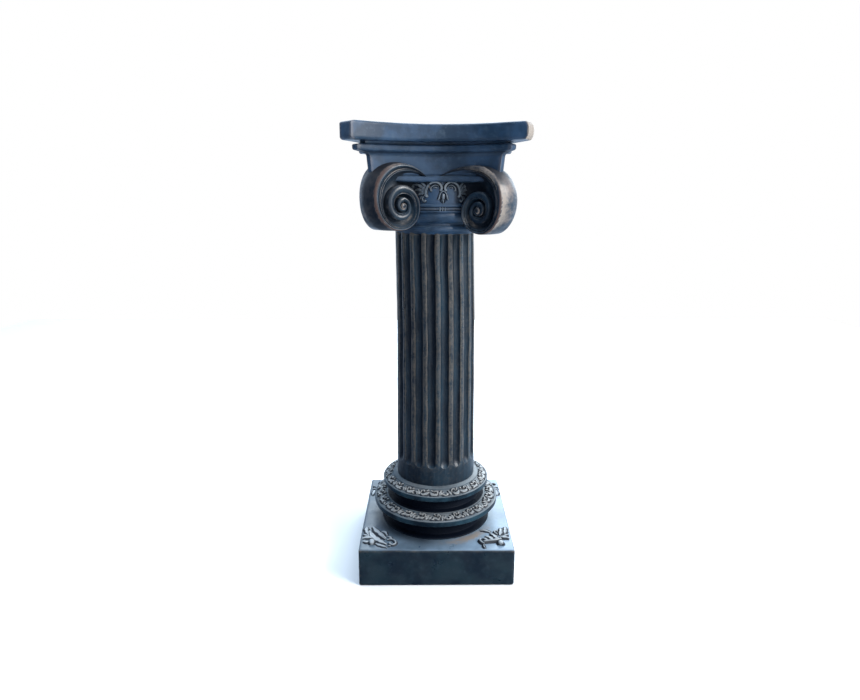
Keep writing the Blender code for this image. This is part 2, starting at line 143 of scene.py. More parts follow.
# Block and abacus: shifts to the left, the abacus's height, corner and cut, and how far its front right
# corner is drawn out, from which place along a side
BLOCK_SHIFT = -2.5
BAND_SHIFT = -5.0
ABACUS_FOOT = 736.0
ABACUS_HEIGHT = 26.0
ABACUS_TOP = ABACUS_FOOT + ABACUS_HEIGHT
ABACUS_CORNER = 143.0
ABACUS_CUT = 18.6
DRAWN_OUT = 8.6
DRAWN_FROM = 95.0

# Points along a side of the block and of the abacus, and on a cut corner
BLOCK_POINTS = 64
ABACUS_POINTS = 120
CUT_POINTS = 9

# Break at the abacus's front right corner: its way out, its run and where it lies along both
BREAK_WAY = np.array([0.841, -0.541])
BREAK_ALONG = np.array([0.541, 0.841])
BREAK_REACH = 186.0
BREAK_MIDDLE = -37.7

# Volutes: radius of the outer edge, and share of a whorl's width that its band takes, at each quarter turn
# from a quarter before the top
INNER_RADII = (9.0, 7.8, 6.4, 4.6, 2.6, 1.2, 0.6, 0.4, 0.3)
INNER_RIDGES = (0.7,) * 9
BROAD_RADII = (42, 63.6, 45.5, 37, 29.5, 31.5, 24, 21, 14, 13.5) + INNER_RADII
NARROW_RADII = (78, 66.8, 42.5, 36, 26.5, 28.5, 19.5, 19.5, 13.7, 13.5) + INNER_RADII
BROAD_RIDGES = (-0.5, 0.38, 0.64, 0.36, 0.5, 0.74, 0.72, 0.76, 0.62, 0.7) + INNER_RIDGES
NARROW_RIDGES = (-0.25, 0.35, 0.6, 0.38, 0.5, 0.68, 0.66, 0.72, 0.62, 0.7) + INNER_RIDGES
NARROWEST_BAND = 0.04

# Spiral: its start and length, and where the second and the third whorl's bands set in and over what turn
VOLUTE_START = math.radians(-56.25)
VOLUTE_TURNS = 3.15
SECOND_WHORL = (1.45 * math.pi, 0.5 * math.pi)
THIRD_WHORL = (3.2 * math.pi, 0.6 * math.pi)

# Columns along the spiral, rows across the rim, a band and a canal, and rows that are bare at the top
COLUMNS_PER_TURN = 96
RIM_ROWS = 21
BAND_ROWS = 37
CANAL_ROWS = 15
TOP_ROWS = 22

# Ridges and beads across a band, each by the shares where it starts and ends and by its height: the outer
# whorl's ridge, which the crown raises, its beads, and those of the second and the third whorl
CROWN_RIDGE = ((0.0, 0.60, 1.0),)
OUTER_BEADS = ((0.63, 0.79, 1.1), (0.82, 0.98, 1.1))
SECOND_RIDGES = ((0.0, 0.84, 2.4), (0.85, 0.99, 1.2))
THIRD_RIDGES = ((0.0, 0.97, 2.8),)

# Relief of the volutes: ridge, canal, what rises and sinks at the start, the rim and the eye
OUTER_RIDGE = 3.2
CANAL_DEPTH = 8.0
START_RISE = 6.0
START_CANAL = 15.0
RIM_SWELL = 4.0
EYE_RISE = 2.2
EYE_RADIUS = 4.4
EYE_HEIGHT = 2.6


def catmull(position, values):
    """Catmull-Rom curve through evenly spaced values, read at an array of positions counted in spaces."""
    values = np.asarray(values, float)
    padded = np.concatenate([values[:1], values, values[-1:]])
    index = np.clip(np.floor(position).astype(int), 0, len(values) - 2)
    along = position - index
    before, start, end, after = (padded[index + offset] for offset in range(4))
    slope = 0.5 * (end - before)
    bend = before - 2.5 * start + 2.0 * end - 0.5 * after
    twist = 0.5 * (after - before) + 1.5 * (start - end)
    return start + along * (slope + along * (bend + along * twist))


def ease(value):
    """Smooth step from 0 to 1: three squares less two cubes of the value, held between 0 and 1."""
    value = np.clip(value, 0.0, 1.0)
    return value * value * (3 - 2 * value)


def within(value, low, high, fade):
    """1 between the low and the high value, eased down to 0 towards each of them over the fade."""
    return ease((value - low) / fade) * ease((high - value) / fade)


def bell(value, middle, spread, power=2):
    """Bell from 0 to 1: e to the negative power of the distance from the middle, counted in spreads."""
    return np.exp(-((value - middle) / spread) ** power)


def polar(points):
    """Distance of points from the axis, and their angle from the front in degrees."""
    x, y = points[..., 0], points[..., 1]
    return np.hypot(x, y), np.degrees(np.arctan2(x, -y))


def uneven(points, size, seed):
    """Smooth unevenness from about -1 to 1: the mean of a few sine waves that cross the points in fixed
    directions, each about the given size long."""
    dice = np.random.default_rng(seed)
    directions = dice.normal(size=(WAVES, 3))
    directions /= np.linalg.norm(directions, axis=1, keepdims=True)
    waves = directions * (2 * math.pi / size) * dice.uniform(0.6, 1.5, size=(WAVES, 1))
    return np.sin(points @ waves.T + dice.uniform(0, 2 * math.pi, WAVES)).mean(axis=-1) * 1.8


def softened(corners, longest, steps=5):
    """Rows of values through corners whose last number is a softness. Each corner becomes a quadratic curve
    that leaves the straight at the softness before it and joins the next one at the softness after it, and
    long straights get extra rows. Lengths are measured on the first and the last value."""
    corners = np.asarray(corners, float)
    values = corners[:, :-1]
    rows = [values[:1]]
    share = np.linspace(0, 1, steps)[:, None]
    for before, corner, after, soft in zip(values[:-2], values[1:-1], values[2:], corners[1:-1, -1]):
        if soft <= 0:
            rows.append(corner[None])
            continue
        back = before - corner
        forth = after - corner
        start = corner + back * min(0.5, soft / np.hypot(back[0], back[-1]))
        end = corner + forth * min(0.5, soft / np.hypot(forth[0], forth[-1]))
        rows.append((1 - share) ** 2 * start + 2 * share * (1 - share) * corner + share ** 2 * end)
    rows = np.concatenate(rows + [values[-1:]])
    filled = []
    for start, end in zip(rows[:-1], rows[1:]):
        count = max(1, math.ceil(np.hypot(end[0] - start[0], end[-1] - start[-1]) / longest))
        filled.append(start + (end - start) * np.arange(count)[:, None] / count)
    return np.concatenate(filled + [rows[-1:]])


def quads(rows, columns, around):
    """Corners of the quads of a grid; around joins its last column to its first."""
    index = np.arange(rows * columns).reshape(rows, columns)
    if around:
        index = np.concatenate([index, index[:, :1]], axis=1)
    corners = [index[:-1, :-1], index[:-1, 1:], index[1:, 1:], index[1:, :-1]]
    return np.stack(corners, axis=-1).reshape(-1, 4)


def patch(grid, around=False):
    """A grid of points, rows by columns by coordinates, as a flat list of points and its quads. A fourth
    coordinate, where there is one, is the grime and painted shade that sit in a hollow, at the foot of a
    relief, under a band or on a side turned from the light, and a fifth one says how bare the resin is and
    how far painted light lies on it."""
    rows, columns, given = grid.shape
    grid = np.concatenate([grid, np.zeros((rows, columns, 5 - given))], axis=2)
    return grid.reshape(-1, 5), quads(rows, columns, around)


def with_marks(grid, shade_and_grime, bare_and_lit):
    """A grid of plain points with its grime and painted shade, and its bareness and painted light, as a
    fourth and a fifth coordinate.
    """
    return np.concatenate([grid, shade_and_grime[..., None], bare_and_lit[..., None]], axis=2)


def capped(grid):
    """A grid that goes around, closed at both ends by a row drawn together to its middle."""
    low = np.repeat(grid[:1].mean(axis=1, keepdims=True), grid.shape[1], axis=1)
    high = np.repeat(grid[-1:].mean(axis=1, keepdims=True), grid.shape[1], axis=1)
    return patch(np.concatenate([low, grid, high]), around=True)


def neighbour_mean(values, first, second, rounds):
    """Values averaged with those of the points they share an edge with, a number of rounds over."""
    count = len(values)
    degree = np.bincount(first, minlength=count) + np.bincount(second, minlength=count) + 1.0
    for _ in range(rounds):
        total = values.copy()
        for axis in range(values.shape[1]):
            total[:, axis] += np.bincount(first, values[second, axis], count)
            total[:, axis] += np.bincount(second, values[first, axis], count)
        values = total / degree[:, None]
    return values


def points_of(mesh):
    """The points of a mesh, in millimetres."""
    points = np.empty(len(mesh.vertices) * 3, np.float32)
    mesh.vertices.foreach_get("co", points)
    return points.reshape(-1, 3).astype(float) / MM


def new_object(name, data):
    """An object in the scene, at the origin."""
    item = bpy.data.objects.new(name, data)
    bpy.context.scene.collection.objects.link(item)
    return item


def mark_relief(mesh, rounds, depth, lowest):
    """Point attributes raised and sunk, from 0 to 1: how far a point stands above or below the mean of
    its surroundings, along its normal, counted in the given depth. Long edges, as on the flat ends of
    turned pieces, are left out of the mean, and nothing counts as raised within a little above the lowest
    height. A third one, upward, is the height of the unit normal."""
    points = points_of(mesh)
    normals = np.empty(points.size, np.float32)
    mesh.vertex_normals.foreach_get("vector", normals)
    normals = normals.reshape(-1, 3)
    edges = np.empty(len(mesh.edges) * 2, np.int32)
    mesh.edges.foreach_get("vertices", edges)
    edges = edges.reshape(-1, 2)
    lengths = np.linalg.norm(points[edges[:, 0]] - points[edges[:, 1]], axis=1)
    first, second = edges[lengths < LONGEST_NEAR].T
    around = neighbour_mean(points, first, second, rounds)
    height = ((points - around) * normals).sum(axis=1) / depth
    height = neighbour_mean(height[:, None], first, second, 1)[:, 0]
    height *= ease((points[:, 2] - lowest) / RAISED_FADE)
    for name, value in (("raised", height), ("sunk", -height), ("upward", normals[:, 2])):
        layer = mesh.attributes.new(name, "FLOAT", "POINT")
        layer.data.foreach_set("value", np.clip(value, 0, 1).astype(np.float32))


def make_piece(name, patches, material, sharp=40, rounds=5, depth=0.5, lowest=-8.0):
    """One object from patches of points in millimetres and quads. Doubled points are merged, which closes
    seams and poles, and every closed shell is turned outwards. Edges sharper than the given degrees stay
    hard; the rounds, depth and lowest height are those of mark_relief."""
    points = np.concatenate([places for places, _ in patches])
    points, shade_and_grime, bare_and_lit = points[:, :3] * MM, points[:, 3], points[:, 4]
    starts = np.cumsum([0] + [len(places) for places, _ in patches[:-1]])
    faces = np.concatenate([corners + start for (_, corners), start in zip(patches, starts)])
    mesh = bpy.data.meshes.new(name)
    mesh.vertices.add(len(points))
    mesh.vertices.foreach_set("co", points.astype(np.float32).ravel())
    mesh.loops.add(faces.size)
    mesh.loops.foreach_set("vertex_index", faces.astype(np.int32).ravel())
    mesh.polygons.add(len(faces))
    mesh.polygons.foreach_set("loop_start", np.arange(0, faces.size, 4, dtype=np.int32))
    mesh.update(calc_edges=True)
    # The fourth coordinate, grime and painted shade, and the fifth, bareness and painted light, become point
    # attributes
    for label, value in (("shade_and_grime", shade_and_grime), ("bare_and_lit", bare_and_lit)):
        mesh.attributes.new(label, "FLOAT", "POINT").data.foreach_set("value", value.astype(np.float32))
    editable = bmesh.new()
    editable.from_mesh(mesh)
    bmesh.ops.remove_doubles(editable, verts=editable.verts, dist=WELD)
    bmesh.ops.recalc_face_normals(editable, faces=editable.faces)
    editable.to_mesh(mesh)
    editable.free()
    mesh.shade_smooth()
    mesh.set_sharp_from_angle(angle=math.radians(sharp))
    mark_relief(mesh, rounds, depth, lowest)
    mesh.materials.append(material)
    item = new_object(name, mesh)
    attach(item, "root")
    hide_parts("column")
    return item


def stroke(start, heading, length, turn, points):
    """Line on a plane of the given length, whose heading turns evenly from its first value by the given
    angle, in degrees."""
    share = (np.arange(points - 1) + 0.5) / (points - 1)
    angle = np.radians(heading + turn * share)
    step = length / (points - 1)
    moves = np.stack([np.cos(angle), np.sin(angle)], axis=1) * step
    return np.concatenate([[start], start + np.cumsum(moves, axis=0)])


def path(corners, points):
    """Smooth plane line through a few places, by the Catmull-Rom curve."""
    corners = np.asarray(corners, float)
    position = np.linspace(0, len(corners) - 1, points)
    return np.stack([catmull(position, corners[:, 0]), catmull(position, corners[:, 1])], axis=1)


def across_of(line):
    """Unit normals of a plane line, to the left of its way."""
    ways = np.gradient(line, axis=0)
    ways /= np.linalg.norm(ways, axis=1, keepdims=True)
    return np.stack([-ways[:, 1], ways[:, 0]], axis=1)


def relief(line, half, crest, height, crease, sunk=1.2, skirt=1.0, fullness=0.8):
    """Closed grid of a relief along a plane line: x, y, height and the painted shade and grime at its foot.

    Its section is an oval of the given half width and height, whose lower half lies the sunk depth below the
    plane and whose crest is drawn down along the middle by the crease. The oval's height is taken to the
    power fullness: below 1 its sides stand steeper and its top is flatter. At its foot it spreads by the
    skirt, a fringe that lies on the ground and carries painted shade and grime.
    """
    turn = np.linspace(0, 2 * math.pi, RELIEF_AROUND, endpoint=False)[None, :]
    side = np.cos(turn)
    lift = np.sin(turn)
    fold = 1 - crease * bell(side, 0, CREASE_WIDTH)
    top = np.where(lift > 0, RELIEF_FOOT + height * fold * lift ** fullness * crest[:, None], sunk * lift)
    fringe = skirt * ease((FRINGE_FROM - lift) / FRINGE_FADE) * np.sign(side) * np.minimum(1, half[:, None])
    place = line[:, None, :] + across_of(line)[:, None, :] * (side * half[:, None] + fringe)[..., None]
    # Painted shade and grime, darkest on the underside and on the fringe at the foot
    shade_and_grime = np.broadcast_to(ease((SHADE_AND_GRIME_FROM - lift) / SHADE_AND_GRIME_FADE), top.shape)
    return np.concatenate([place, top[..., None], shade_and_grime[..., None]], axis=2)


def ridge(line, width, height, taper=(0.35, 1.0, 0.6), groove=0.0, **section):
    """Rounded ridge along a plane line. Its half width follows three tapers, at the start, the middle and the
    end, and closes to nothing towards each end as a quarter circle."""
    share = np.linspace(0, 1, len(line))
    swell = catmull(share * 2, taper)
    ends = np.sqrt(np.clip(1 - (1 - np.minimum(share, 1 - share) / RIDGE_END).clip(0) ** 2, 0, 1))
    crest = (THINNEST_HEIGHT + (1 - THINNEST_HEIGHT) * swell) * ends
    return relief(line, width * swell * ends, crest, height, groove, **section)


def leaf(line, width, height, lobes=3, crease=0.35, **section):
    """Pointed leaf along a plane line. Its half width is the sine of the share along it, nicked by a number
    of lobes; it has a crease along the midrib and rises towards its tip."""
    share = np.linspace(0, 1, len(line))
    outline = np.sin(math.pi * share ** 0.8) ** 0.75
    nicks = 1 - LOBE_NICK * np.abs(np.sin(math.pi * lobes * share)) ** 3 * (share < LOBES_END)
    crest = (0.55 + 0.45 * share) * np.sqrt(outline)
    return relief(line, width * outline * nicks, crest, height, crease, **section)


def mirrored(grid):
    """The same relief with its first coordinate turned about."""
    return grid * np.array([-1.0, 1.0, 1.0, 1.0])


def four_ways(quarter):
    """A quarter of a plan outline followed by itself at the other three quarter turns, anticlockwise."""
    sides = []
    for count in range(4):
        angle = count * QUARTER
        spin = np.array([[math.cos(angle), math.sin(angle)], [-math.sin(angle), math.cos(angle)]])
        sides.append(quarter @ spin)
    return np.concatenate(sides)


def square_outline(half, corner, spacing):
    """Points of a square with rounded corners, anticlockwise from above."""
    reach = half - corner
    side = np.arange(-reach, reach, 2 * reach / round(2 * reach / spacing))[:, None]
    bend = np.linspace(0, QUARTER, 7)[:-1]
    straight = np.concatenate([side, np.full_like(side, -half)], axis=1)
    arc = np.stack([reach + corner * np.sin(bend), -reach - corner * np.cos(bend)], axis=1)
    return four_ways(np.concatenate([straight, arc]))


def plinth_levels():
    """Inset and height of each level of the plinth, from the middle of its underside to that of its top. The
    rounding of each edge is a quarter circle."""
    edge = PLINTH_SOFTENING
    top_edge = PLINTH_HEIGHT - edge
    bend = np.linspace(0, QUARTER, 7)
    levels = [(inset, 0.0) for inset in (PLINTH_HALF, 90.0, 40.0, 10.0)]
    levels += [(edge - edge * math.sin(angle), edge - edge * math.cos(angle)) for angle in bend]
    levels += [(0.0, height) for height in np.linspace(edge, top_edge, 18)[1:-1]]
    levels += [(edge - edge * math.cos(angle), top_edge + edge * math.sin(angle)) for angle in bend]
    levels += [(inset, PLINTH_HEIGHT) for inset in np.arange(6.0, 62.0, 2.5)]
    levels += [(inset, PLINTH_HEIGHT) for inset in (70.0, 90.0, PLINTH_HALF)]
    return np.array(levels).T


def plinth(material):
    """Square slab: its outline, drawn in by the inset of each level. The faces wander a little, as a
    casting's do, and the top dips towards the right. Around the rings the top is rubbed to the right and
    painted with the column's shadow to the left."""
    outline = square_outline(PLINTH_HALF, PLINTH_CORNER, PLINTH_SPACING)
    inset, height = plinth_levels()
    share = 1 - inset / PLINTH_HALF
    grid = np.empty((len(height), len(outline), 3))
    grid[..., :2] = outline[None] * share[:, None, None]
    grid[..., 2] = height[:, None]
    above = ease((grid[..., 2] - 1) / 6)
    wander = uneven(grid, 90, 3) * 0.45 + uneven(grid, 22, 4) * 0.18
    grid[..., :2] *= (1 - np.abs(wander) * above * 0.006)[..., None]
    grid[..., 2] += (uneven(grid, 60, 5) * 0.25 - PLINTH_DIP - PLINTH_TILT * grid[..., 0]) * above
    radius, side = polar(grid)
    on_top = ease((grid[..., 2] - 60) / 6)
    bare_and_lit = 0.95 * bell(radius, RUBBED_RADIUS, 9) * bell(side, RUBBED_AND_LIT_SIDE, 24) * on_top
    # Painted shadow of the column on the top, to the left and front of the rings
    shade_and_grime = 0.85 * ease((128 - radius) / 24) * ease((24 - side) / 40) * on_top
    return make_piece("plinth", [patch(with_marks(grid, shade_and_grime, bare_and_lit), around=True)], material, rounds=4,
                      depth=0.45)


def turned(profile, wander, seed):
    """Solid of revolution: radius and height points, given from the bottom up, spun around the axis. Its
    surface strays along its radius by up to about the wander, a share in hundredths."""
    radius, height = profile.T
    angle = np.linspace(0, 2 * math.pi, TURNED_COLUMNS, endpoint=False)
    grid = np.empty((len(radius), TURNED_COLUMNS, 3))
    grid[..., 0] = radius[:, None] * np.cos(angle)
    grid[..., 1] = radius[:, None] * np.sin(angle)
    grid[..., 2] = height[:, None]
    grid[..., :2] *= (1 + uneven(grid, 70, seed) * wander / 100)[..., None]
    return capped(grid)


# Base rings: radius, height and softness of each corner of their outline, from the bottom up
RING_PROFILE = (
    (98.0, 66.0, 0), (101.5, 66.0, 0), (101.5, 70.4, 1.2), (97.0, 71.4, 0.8), (89.4, 72.2, 1.4),
    (87.4, 84.0, 6.0), (94.0, 96.5, 3.0), (109.5, 98.6, 1.0), (110.5, 99.8, 0.6), (115.4, 101.0, 2.0),
    (116.0, 110.2, 1.0), (112.6, 111.5, 0.5), (111.6, 110.7, 0.4), (94.0, 114.0, 0.4), (93.0, 115.2, 0.8),
    (79.6, 116.2, 1.2), (77.4, 126.0, 4.0), (83.0, 136.0, 2.0), (92.0, 137.4, 0.8), (93.0, 138.6, 0.6),
    (97.8, 139.6, 1.8), (98.5, 148.0, 1.0), (95.7, 149.0, 0.5), (94.7, 148.0, 0.4), (80.6, 154.3, 0.4),
    (79.6, 155.3, 0.8), (74.0, 157.4, 1.0), (70.0, 157.6, 0),
)

# Leaf bands: radius and height of the inner and outer edge, number of motifs and turn of the first one
BANDS = (
    {"inner": (94.0, 114.0), "outer": (111.4, 110.75), "motifs": 24, "turn": 0.06},
    {"inner": (80.6, 154.3), "outer": (94.5, 148.1), "motifs": 20, "turn": 0.02},
)

# Their motifs: section and points of a leaf, length along the band and width across it in their own units,
# the seed of their unevenness, and the share of them that is mirrored
BAND_SECTION = {"skirt": 2.5, "fullness": 0.5}
BAND_POINTS = 14
MOTIF_LENGTH = 27.0
MOTIF_WIDTH = 12.0
BAND_SEED = 52
MIRRORED_SHARE = 0.35

# Hollows under the rings, painted dark as shade: lowest and highest height, the radius they lie within and
# the fade there
HOLLOWS = ((66.5, 100.5, 105.0, 6.0), (111.5, 140.5, 93.0, 4.0))


def paint_hollow_shade(item, hollows):
    """Raise the sunk attribute to 1 in deep hollows, which paints shade there."""
    mesh = item.data
    points = points_of(mesh)
    radius, _ = polar(points)
    sunk = np.empty(len(points), np.float32)
    layer = mesh.attributes["sunk"]
    layer.data.foreach_get("value", sunk)
    for low, high, reach, fade in hollows:
        sunk = np.maximum(sunk, within(points[:, 2], low, high, 3) * ease((reach - radius) / fade))
    layer.data.foreach_set("value", sunk.astype(np.float32))


def ring_marks(points):
    """Painted shade and grime, and bareness and painted light, of the rings' points: grime and painted shade
    on the floors of the leaf bands, painted warm light at the right ends of the hollows, and paler beside the
    foot of the shaft, less so to the left."""
    radius, side = polar(points)
    height = points[:, 2]
    right = ease((side - RUBBED_AND_LIT_SIDE) / 26) * ease((112 - side) / 26)
    bare_and_lit = 0.55 * bell(radius, 81, 5.5) * (height > 148) * ease((side + 70) / 80)
    for low, high, reach, fade in HOLLOWS:
        inside = within(height, low, high, 6) * ease((reach - radius) / fade)
        # Warm light from the right is painted on the right ends of the hollows
        bare_and_lit = np.maximum(bare_and_lit, 0.55 * right * inside)
    shade_and_grime = 0 * bare_and_lit
    for band in BANDS:
        (inner, high), (outer, low) = band["inner"], band["outer"]
        floor_height = high + (low - high) * (radius - inner) / (outer - inner)
        on_floor = ease((radius - inner - 1) / 2) * ease((outer + 1 - radius) / 1.5)
        # Grime and painted shade on the floors of the leaf bands
        shade_and_grime = np.maximum(shade_and_grime, 0.7 * on_floor * (np.abs(height - floor_height) < 0.8))
    return np.stack([shade_and_grime, bare_and_lit], axis=1)


def base_rings(material):
    """The two base rings, with the hollows under them and the sunk floors of their leaf bands."""
    points, corners = turned(softened(RING_PROFILE, 2.2), wander=0.3, seed=8)
    marked = np.concatenate([points, ring_marks(points)], axis=1)
    item = make_piece("base_rings", [(marked, corners)], material, depth=0.7)
    # The hollows under the rings are painted dark as shade
    paint_hollow_shade(item, HOLLOWS)
    return item


def band_motif(period, width, dice):
    """One repeat of the leaf band, on a plane whose x runs along the band and whose y crosses it outwards: a
    long curved leaf that ends in a curl, an upright leaf, a small one, a bud and a second curl. No two
    repeats are quite alike."""
    unit = width / MOTIF_WIDTH
    reach = period / MOTIF_LENGTH
    bend = dice.uniform(-14, 14, 4)[0]
    size = dice.uniform(0.75, 1.25, 5)

    def along(*corners):
        """Line through places in the motif's own units, each a little off."""
        nudge = dice.uniform(-0.9, 0.9, (len(corners), 2))
        return path((np.array(corners) + nudge) * np.array([reach, unit]), BAND_POINTS)

    def band_leaf(line, half, height, lobes):
        """Leaf whose half width and height are in the motif's units."""
        return leaf(line, half * unit, height * unit, lobes=lobes, **BAND_SECTION)

    def band_ridge(line, half, height, taper):
        """Bud or curl whose half width and height are in the motif's units."""
        return ridge(line, half * unit, height * unit, taper=taper, **BAND_SECTION)

    return [
        band_leaf(along((-12.5, 4.6), (-8.6, 8.6), (-3.2, 9.2), (1.2, 6.4)), 2.5 * size[0], 2.5, 3),
        band_ridge(along((0.6, 7.0), (0.4, 3.4), (-3.4, 2.6), (-4.6, 5.0)), 1.15, 2.2, (0.8, 1.0, 1.3)),
        band_leaf(along((4.2, 10.6), (4.8, 6.4), (8.2, 2.0)), 2.1 * size[1], 2.4, 2),
        band_leaf(along((7.6, 10.2), (9.2, 7.4), (11.8, 5.8)), 1.7 * size[2], 2.2, 2),
        band_ridge(along((-11.2, 1.6), (-7.2, 3.6)), 1.3 * size[3], 1.9, (1, 1, 0.8)),
        band_ridge(stroke((12.4 * reach, 9.6 * unit), 60 + bend, 4.2 * size[4] * unit, -150, 12), 1.1, 1.9,
                   (0.7, 1, 1.2)),
    ]


def leaf_bands(material):
    """Running leaf scrolls laid on the two rings. A motif's x becomes an angle and its y a place on the
    straight between the band's inner and outer edge; its height stands along the band's own normal."""
    patches = []
    dice = np.random.default_rng(BAND_SEED)
    for band in BANDS:
        inner = np.array(band["inner"])
        outer = np.array(band["outer"])
        width = np.linalg.norm(outer - inner)
        way = (outer - inner) / width
        rise = np.array([-way[1], way[0]])
        middle = (inner[0] + outer[0]) / 2
        period = 2 * math.pi * middle / band["motifs"]
        for number in range(band["motifs"]):
            turn = band["turn"] + number * 2 * math.pi / band["motifs"]
            flip = dice.random() < MIRRORED_SHARE
            for part in band_motif(period, width, dice):
                part = mirrored(part) if flip else part
                angle = turn + part[..., 0] / middle
                section = inner + part[..., 1:2] * way + part[..., 2:3] * rise
                place = np.stack([section[..., 0] * np.cos(angle), section[..., 0] * np.sin(angle),
                                  section[..., 1], part[..., 3]], axis=-1)
                patches.append(capped(place))
    return make_piece("leaf_bands", patches, material, rounds=4, depth=0.35)


def flute_foot(heights):
    """How far a flute has opened, in width and in depth, as shares, at each height above its foot. Its width
    opens as the height of a quarter circle does, and its depth along a gentler scoop."""
    opening = np.clip((heights - FLUTE_FOOT) / FLUTE_ROUND, 0, 1)
    scoop = np.clip((heights - FLUTE_FOOT) / FLUTE_SCOOP, 0, 1)
    return np.sqrt(1 - (1 - opening) ** 2), np.sin(QUARTER * scoop)


def shaft_heights():
    """Heights of the shaft's rows, close together around the feet of the flutes."""
    low_rows = np.array([SHAFT_FOOT, 156, 162, 168, 174, 180, 184, 187, 189, FLUTE_FOOT - 0.4])
    foot_rows = FLUTE_FOOT + FLUTE_SCOOP * (1 - np.cos(np.linspace(0, QUARTER, 15)))
    high_rows = np.linspace(foot_rows[-1], SHAFT_TOP, 74)[1:]
    return np.concatenate([low_rows, foot_rows, high_rows])


def shaded_left_walls(grid):
    """Painted shade on the faces of a grid that look left, away from the light: the negative x of its unit
    normal, eased.
    """
    along_way = np.roll(grid, -1, axis=1) - np.roll(grid, 1, axis=1)
    facing = np.cross(along_way, np.gradient(grid, axis=0))
    facing /= np.linalg.norm(facing, axis=2, keepdims=True)
    return ease((-facing[..., 0] - 0.25) / 0.4)


def shaft(material):
    """Fluted shaft. The radius shrinks evenly upwards. Across a flute and the land beside it, a share runs
    from -1 to 1 within the flute and on over the land. The flute's depth is the height of an oval over that
    share, and its columns close up with the flute's round foot; below the foot they spread out again. The
    land is rounded as a parabola. The flutes' edges wander a little, and the top of the shaft leans aside.
    The flutes' walls that face left, away from the light, are painted with shade, and below the flutes the
    shaft is painted darker."""
    heights = shaft_heights()
    opening, scoop = (values[:, None] for values in flute_foot(heights))
    up = heights[:, None]
    closing = ease((up - COLUMNS_SPREAD_FROM) / (FLUTE_FOOT - COLUMNS_SPREAD_FROM))
    spread = np.maximum(opening, COLUMNS_CLOSEST)
    spread = np.where(up < FLUTE_FOOT, 1 - (1 - COLUMNS_CLOSEST) * closing, spread)
    land_width = 2 / FLUTE_SHARE - 2
    inside = np.sin(np.linspace(-QUARTER, QUARTER, 19))
    across = np.concatenate([inside, np.linspace(1, 1 + land_width, 11)[1:-1]])
    number = np.repeat(np.arange(FLUTES), len(across))[None, :]
    share = np.tile(across, FLUTES)[None, :]
    on_land = spread + (share - 1) * (2 / FLUTE_SHARE - 2 * spread) / land_width
    stretched = np.where(np.abs(share) <= 1, share * spread, on_land)
    angle = (number + stretched * FLUTE_SHARE / 2) * FLUTE_PITCH + FLUTE_TURN - QUARTER
    flute_edges = np.broadcast_arrays(number * 37.0 + (share > 0) * 11.0, up * 0.9, 0 * angle)
    angle = angle + uneven(np.stack(flute_edges, axis=-1), 60, 12) * 0.5 / SHAFT_FOOT_RADIUS * opening
    climb = (up - SHAFT_FOOT) / (SHAFT_TOP - SHAFT_FOOT)
    hollow = np.clip(1 - share ** 2, 0, 1) ** FLUTE_FULLNESS
    land = np.clip((share - 1) / land_width, 0, 1)
    depth = (FLUTE_DEPTH * hollow + LAND_ROUND * (2 * land - 1) ** 2) * scoop
    radius = SHAFT_FOOT_RADIUS + (SHAFT_TOP_RADIUS - SHAFT_FOOT_RADIUS) * climb - depth
    grid = np.stack([radius * np.cos(angle), radius * np.sin(angle), up + 0 * angle], axis=-1)
    grid[..., :2] *= (1 + 0.003 * uneven(grid, 50, 14))[..., None]
    grid[..., 0] += SHAFT_LEAN * ease((grid[..., 2] - SHAFT_LEAN_FROM) / (SHAFT_TOP - SHAFT_LEAN_FROM))
    # Painted shade on the left-facing walls of the flutes, and darker below them
    shade_and_grime = np.maximum(shaded_left_walls(grid) * (np.abs(share) < 0.99) * opening, 0.45 * (1 - opening))
    return make_piece("shaft", [capped(with_marks(grid, shade_and_grime, 0 * shade_and_grime))], material, rounds=12, depth=0.8,
                      lowest=168.0)


# Astragal, echinus, fillets and drum: radius, height and softness of each corner, from the bottom up
CORE_PROFILE = (
    (66.0, 598.0, 0), (70.0, 601.0, 1.0), (75.0, 602.5, 2.5), (75.8, 606.5, 2.5), (74.5, 610.5, 2.0),
    (71.0, 611.8, 0.6), (70.6, 615.2, 1.2), (77.0, 619.5, 4.0), (80.5, 626.0, 3.5), (79.0, 631.0, 1.5),
    (78.3, 632.2, 0.5), (81.8, 632.6, 0.5), (81.9, 634.4, 0.5), (79.9, 635.0, 0.4), (80.0, 636.4, 0.4),
    (82.0, 637.0, 0.5), (82.0, 638.4, 0.5), (80.0, 639.0, 0.4), (79.9, 640.6, 0.4), (81.9, 641.2, 0.5),
    (81.9, 643.4, 0.5), (79.0, 644.4, 0.5), (78.0, 645.0, 0.4), (78.0, 692.0, 0),
)

# Heights of the two grooves between the fillets, which are painted dark with shade, and of the fillet between
# them, which is painted lighter
FILLET_GROOVES = (635.7, 639.8)
FILLET_BEAD = 637.7


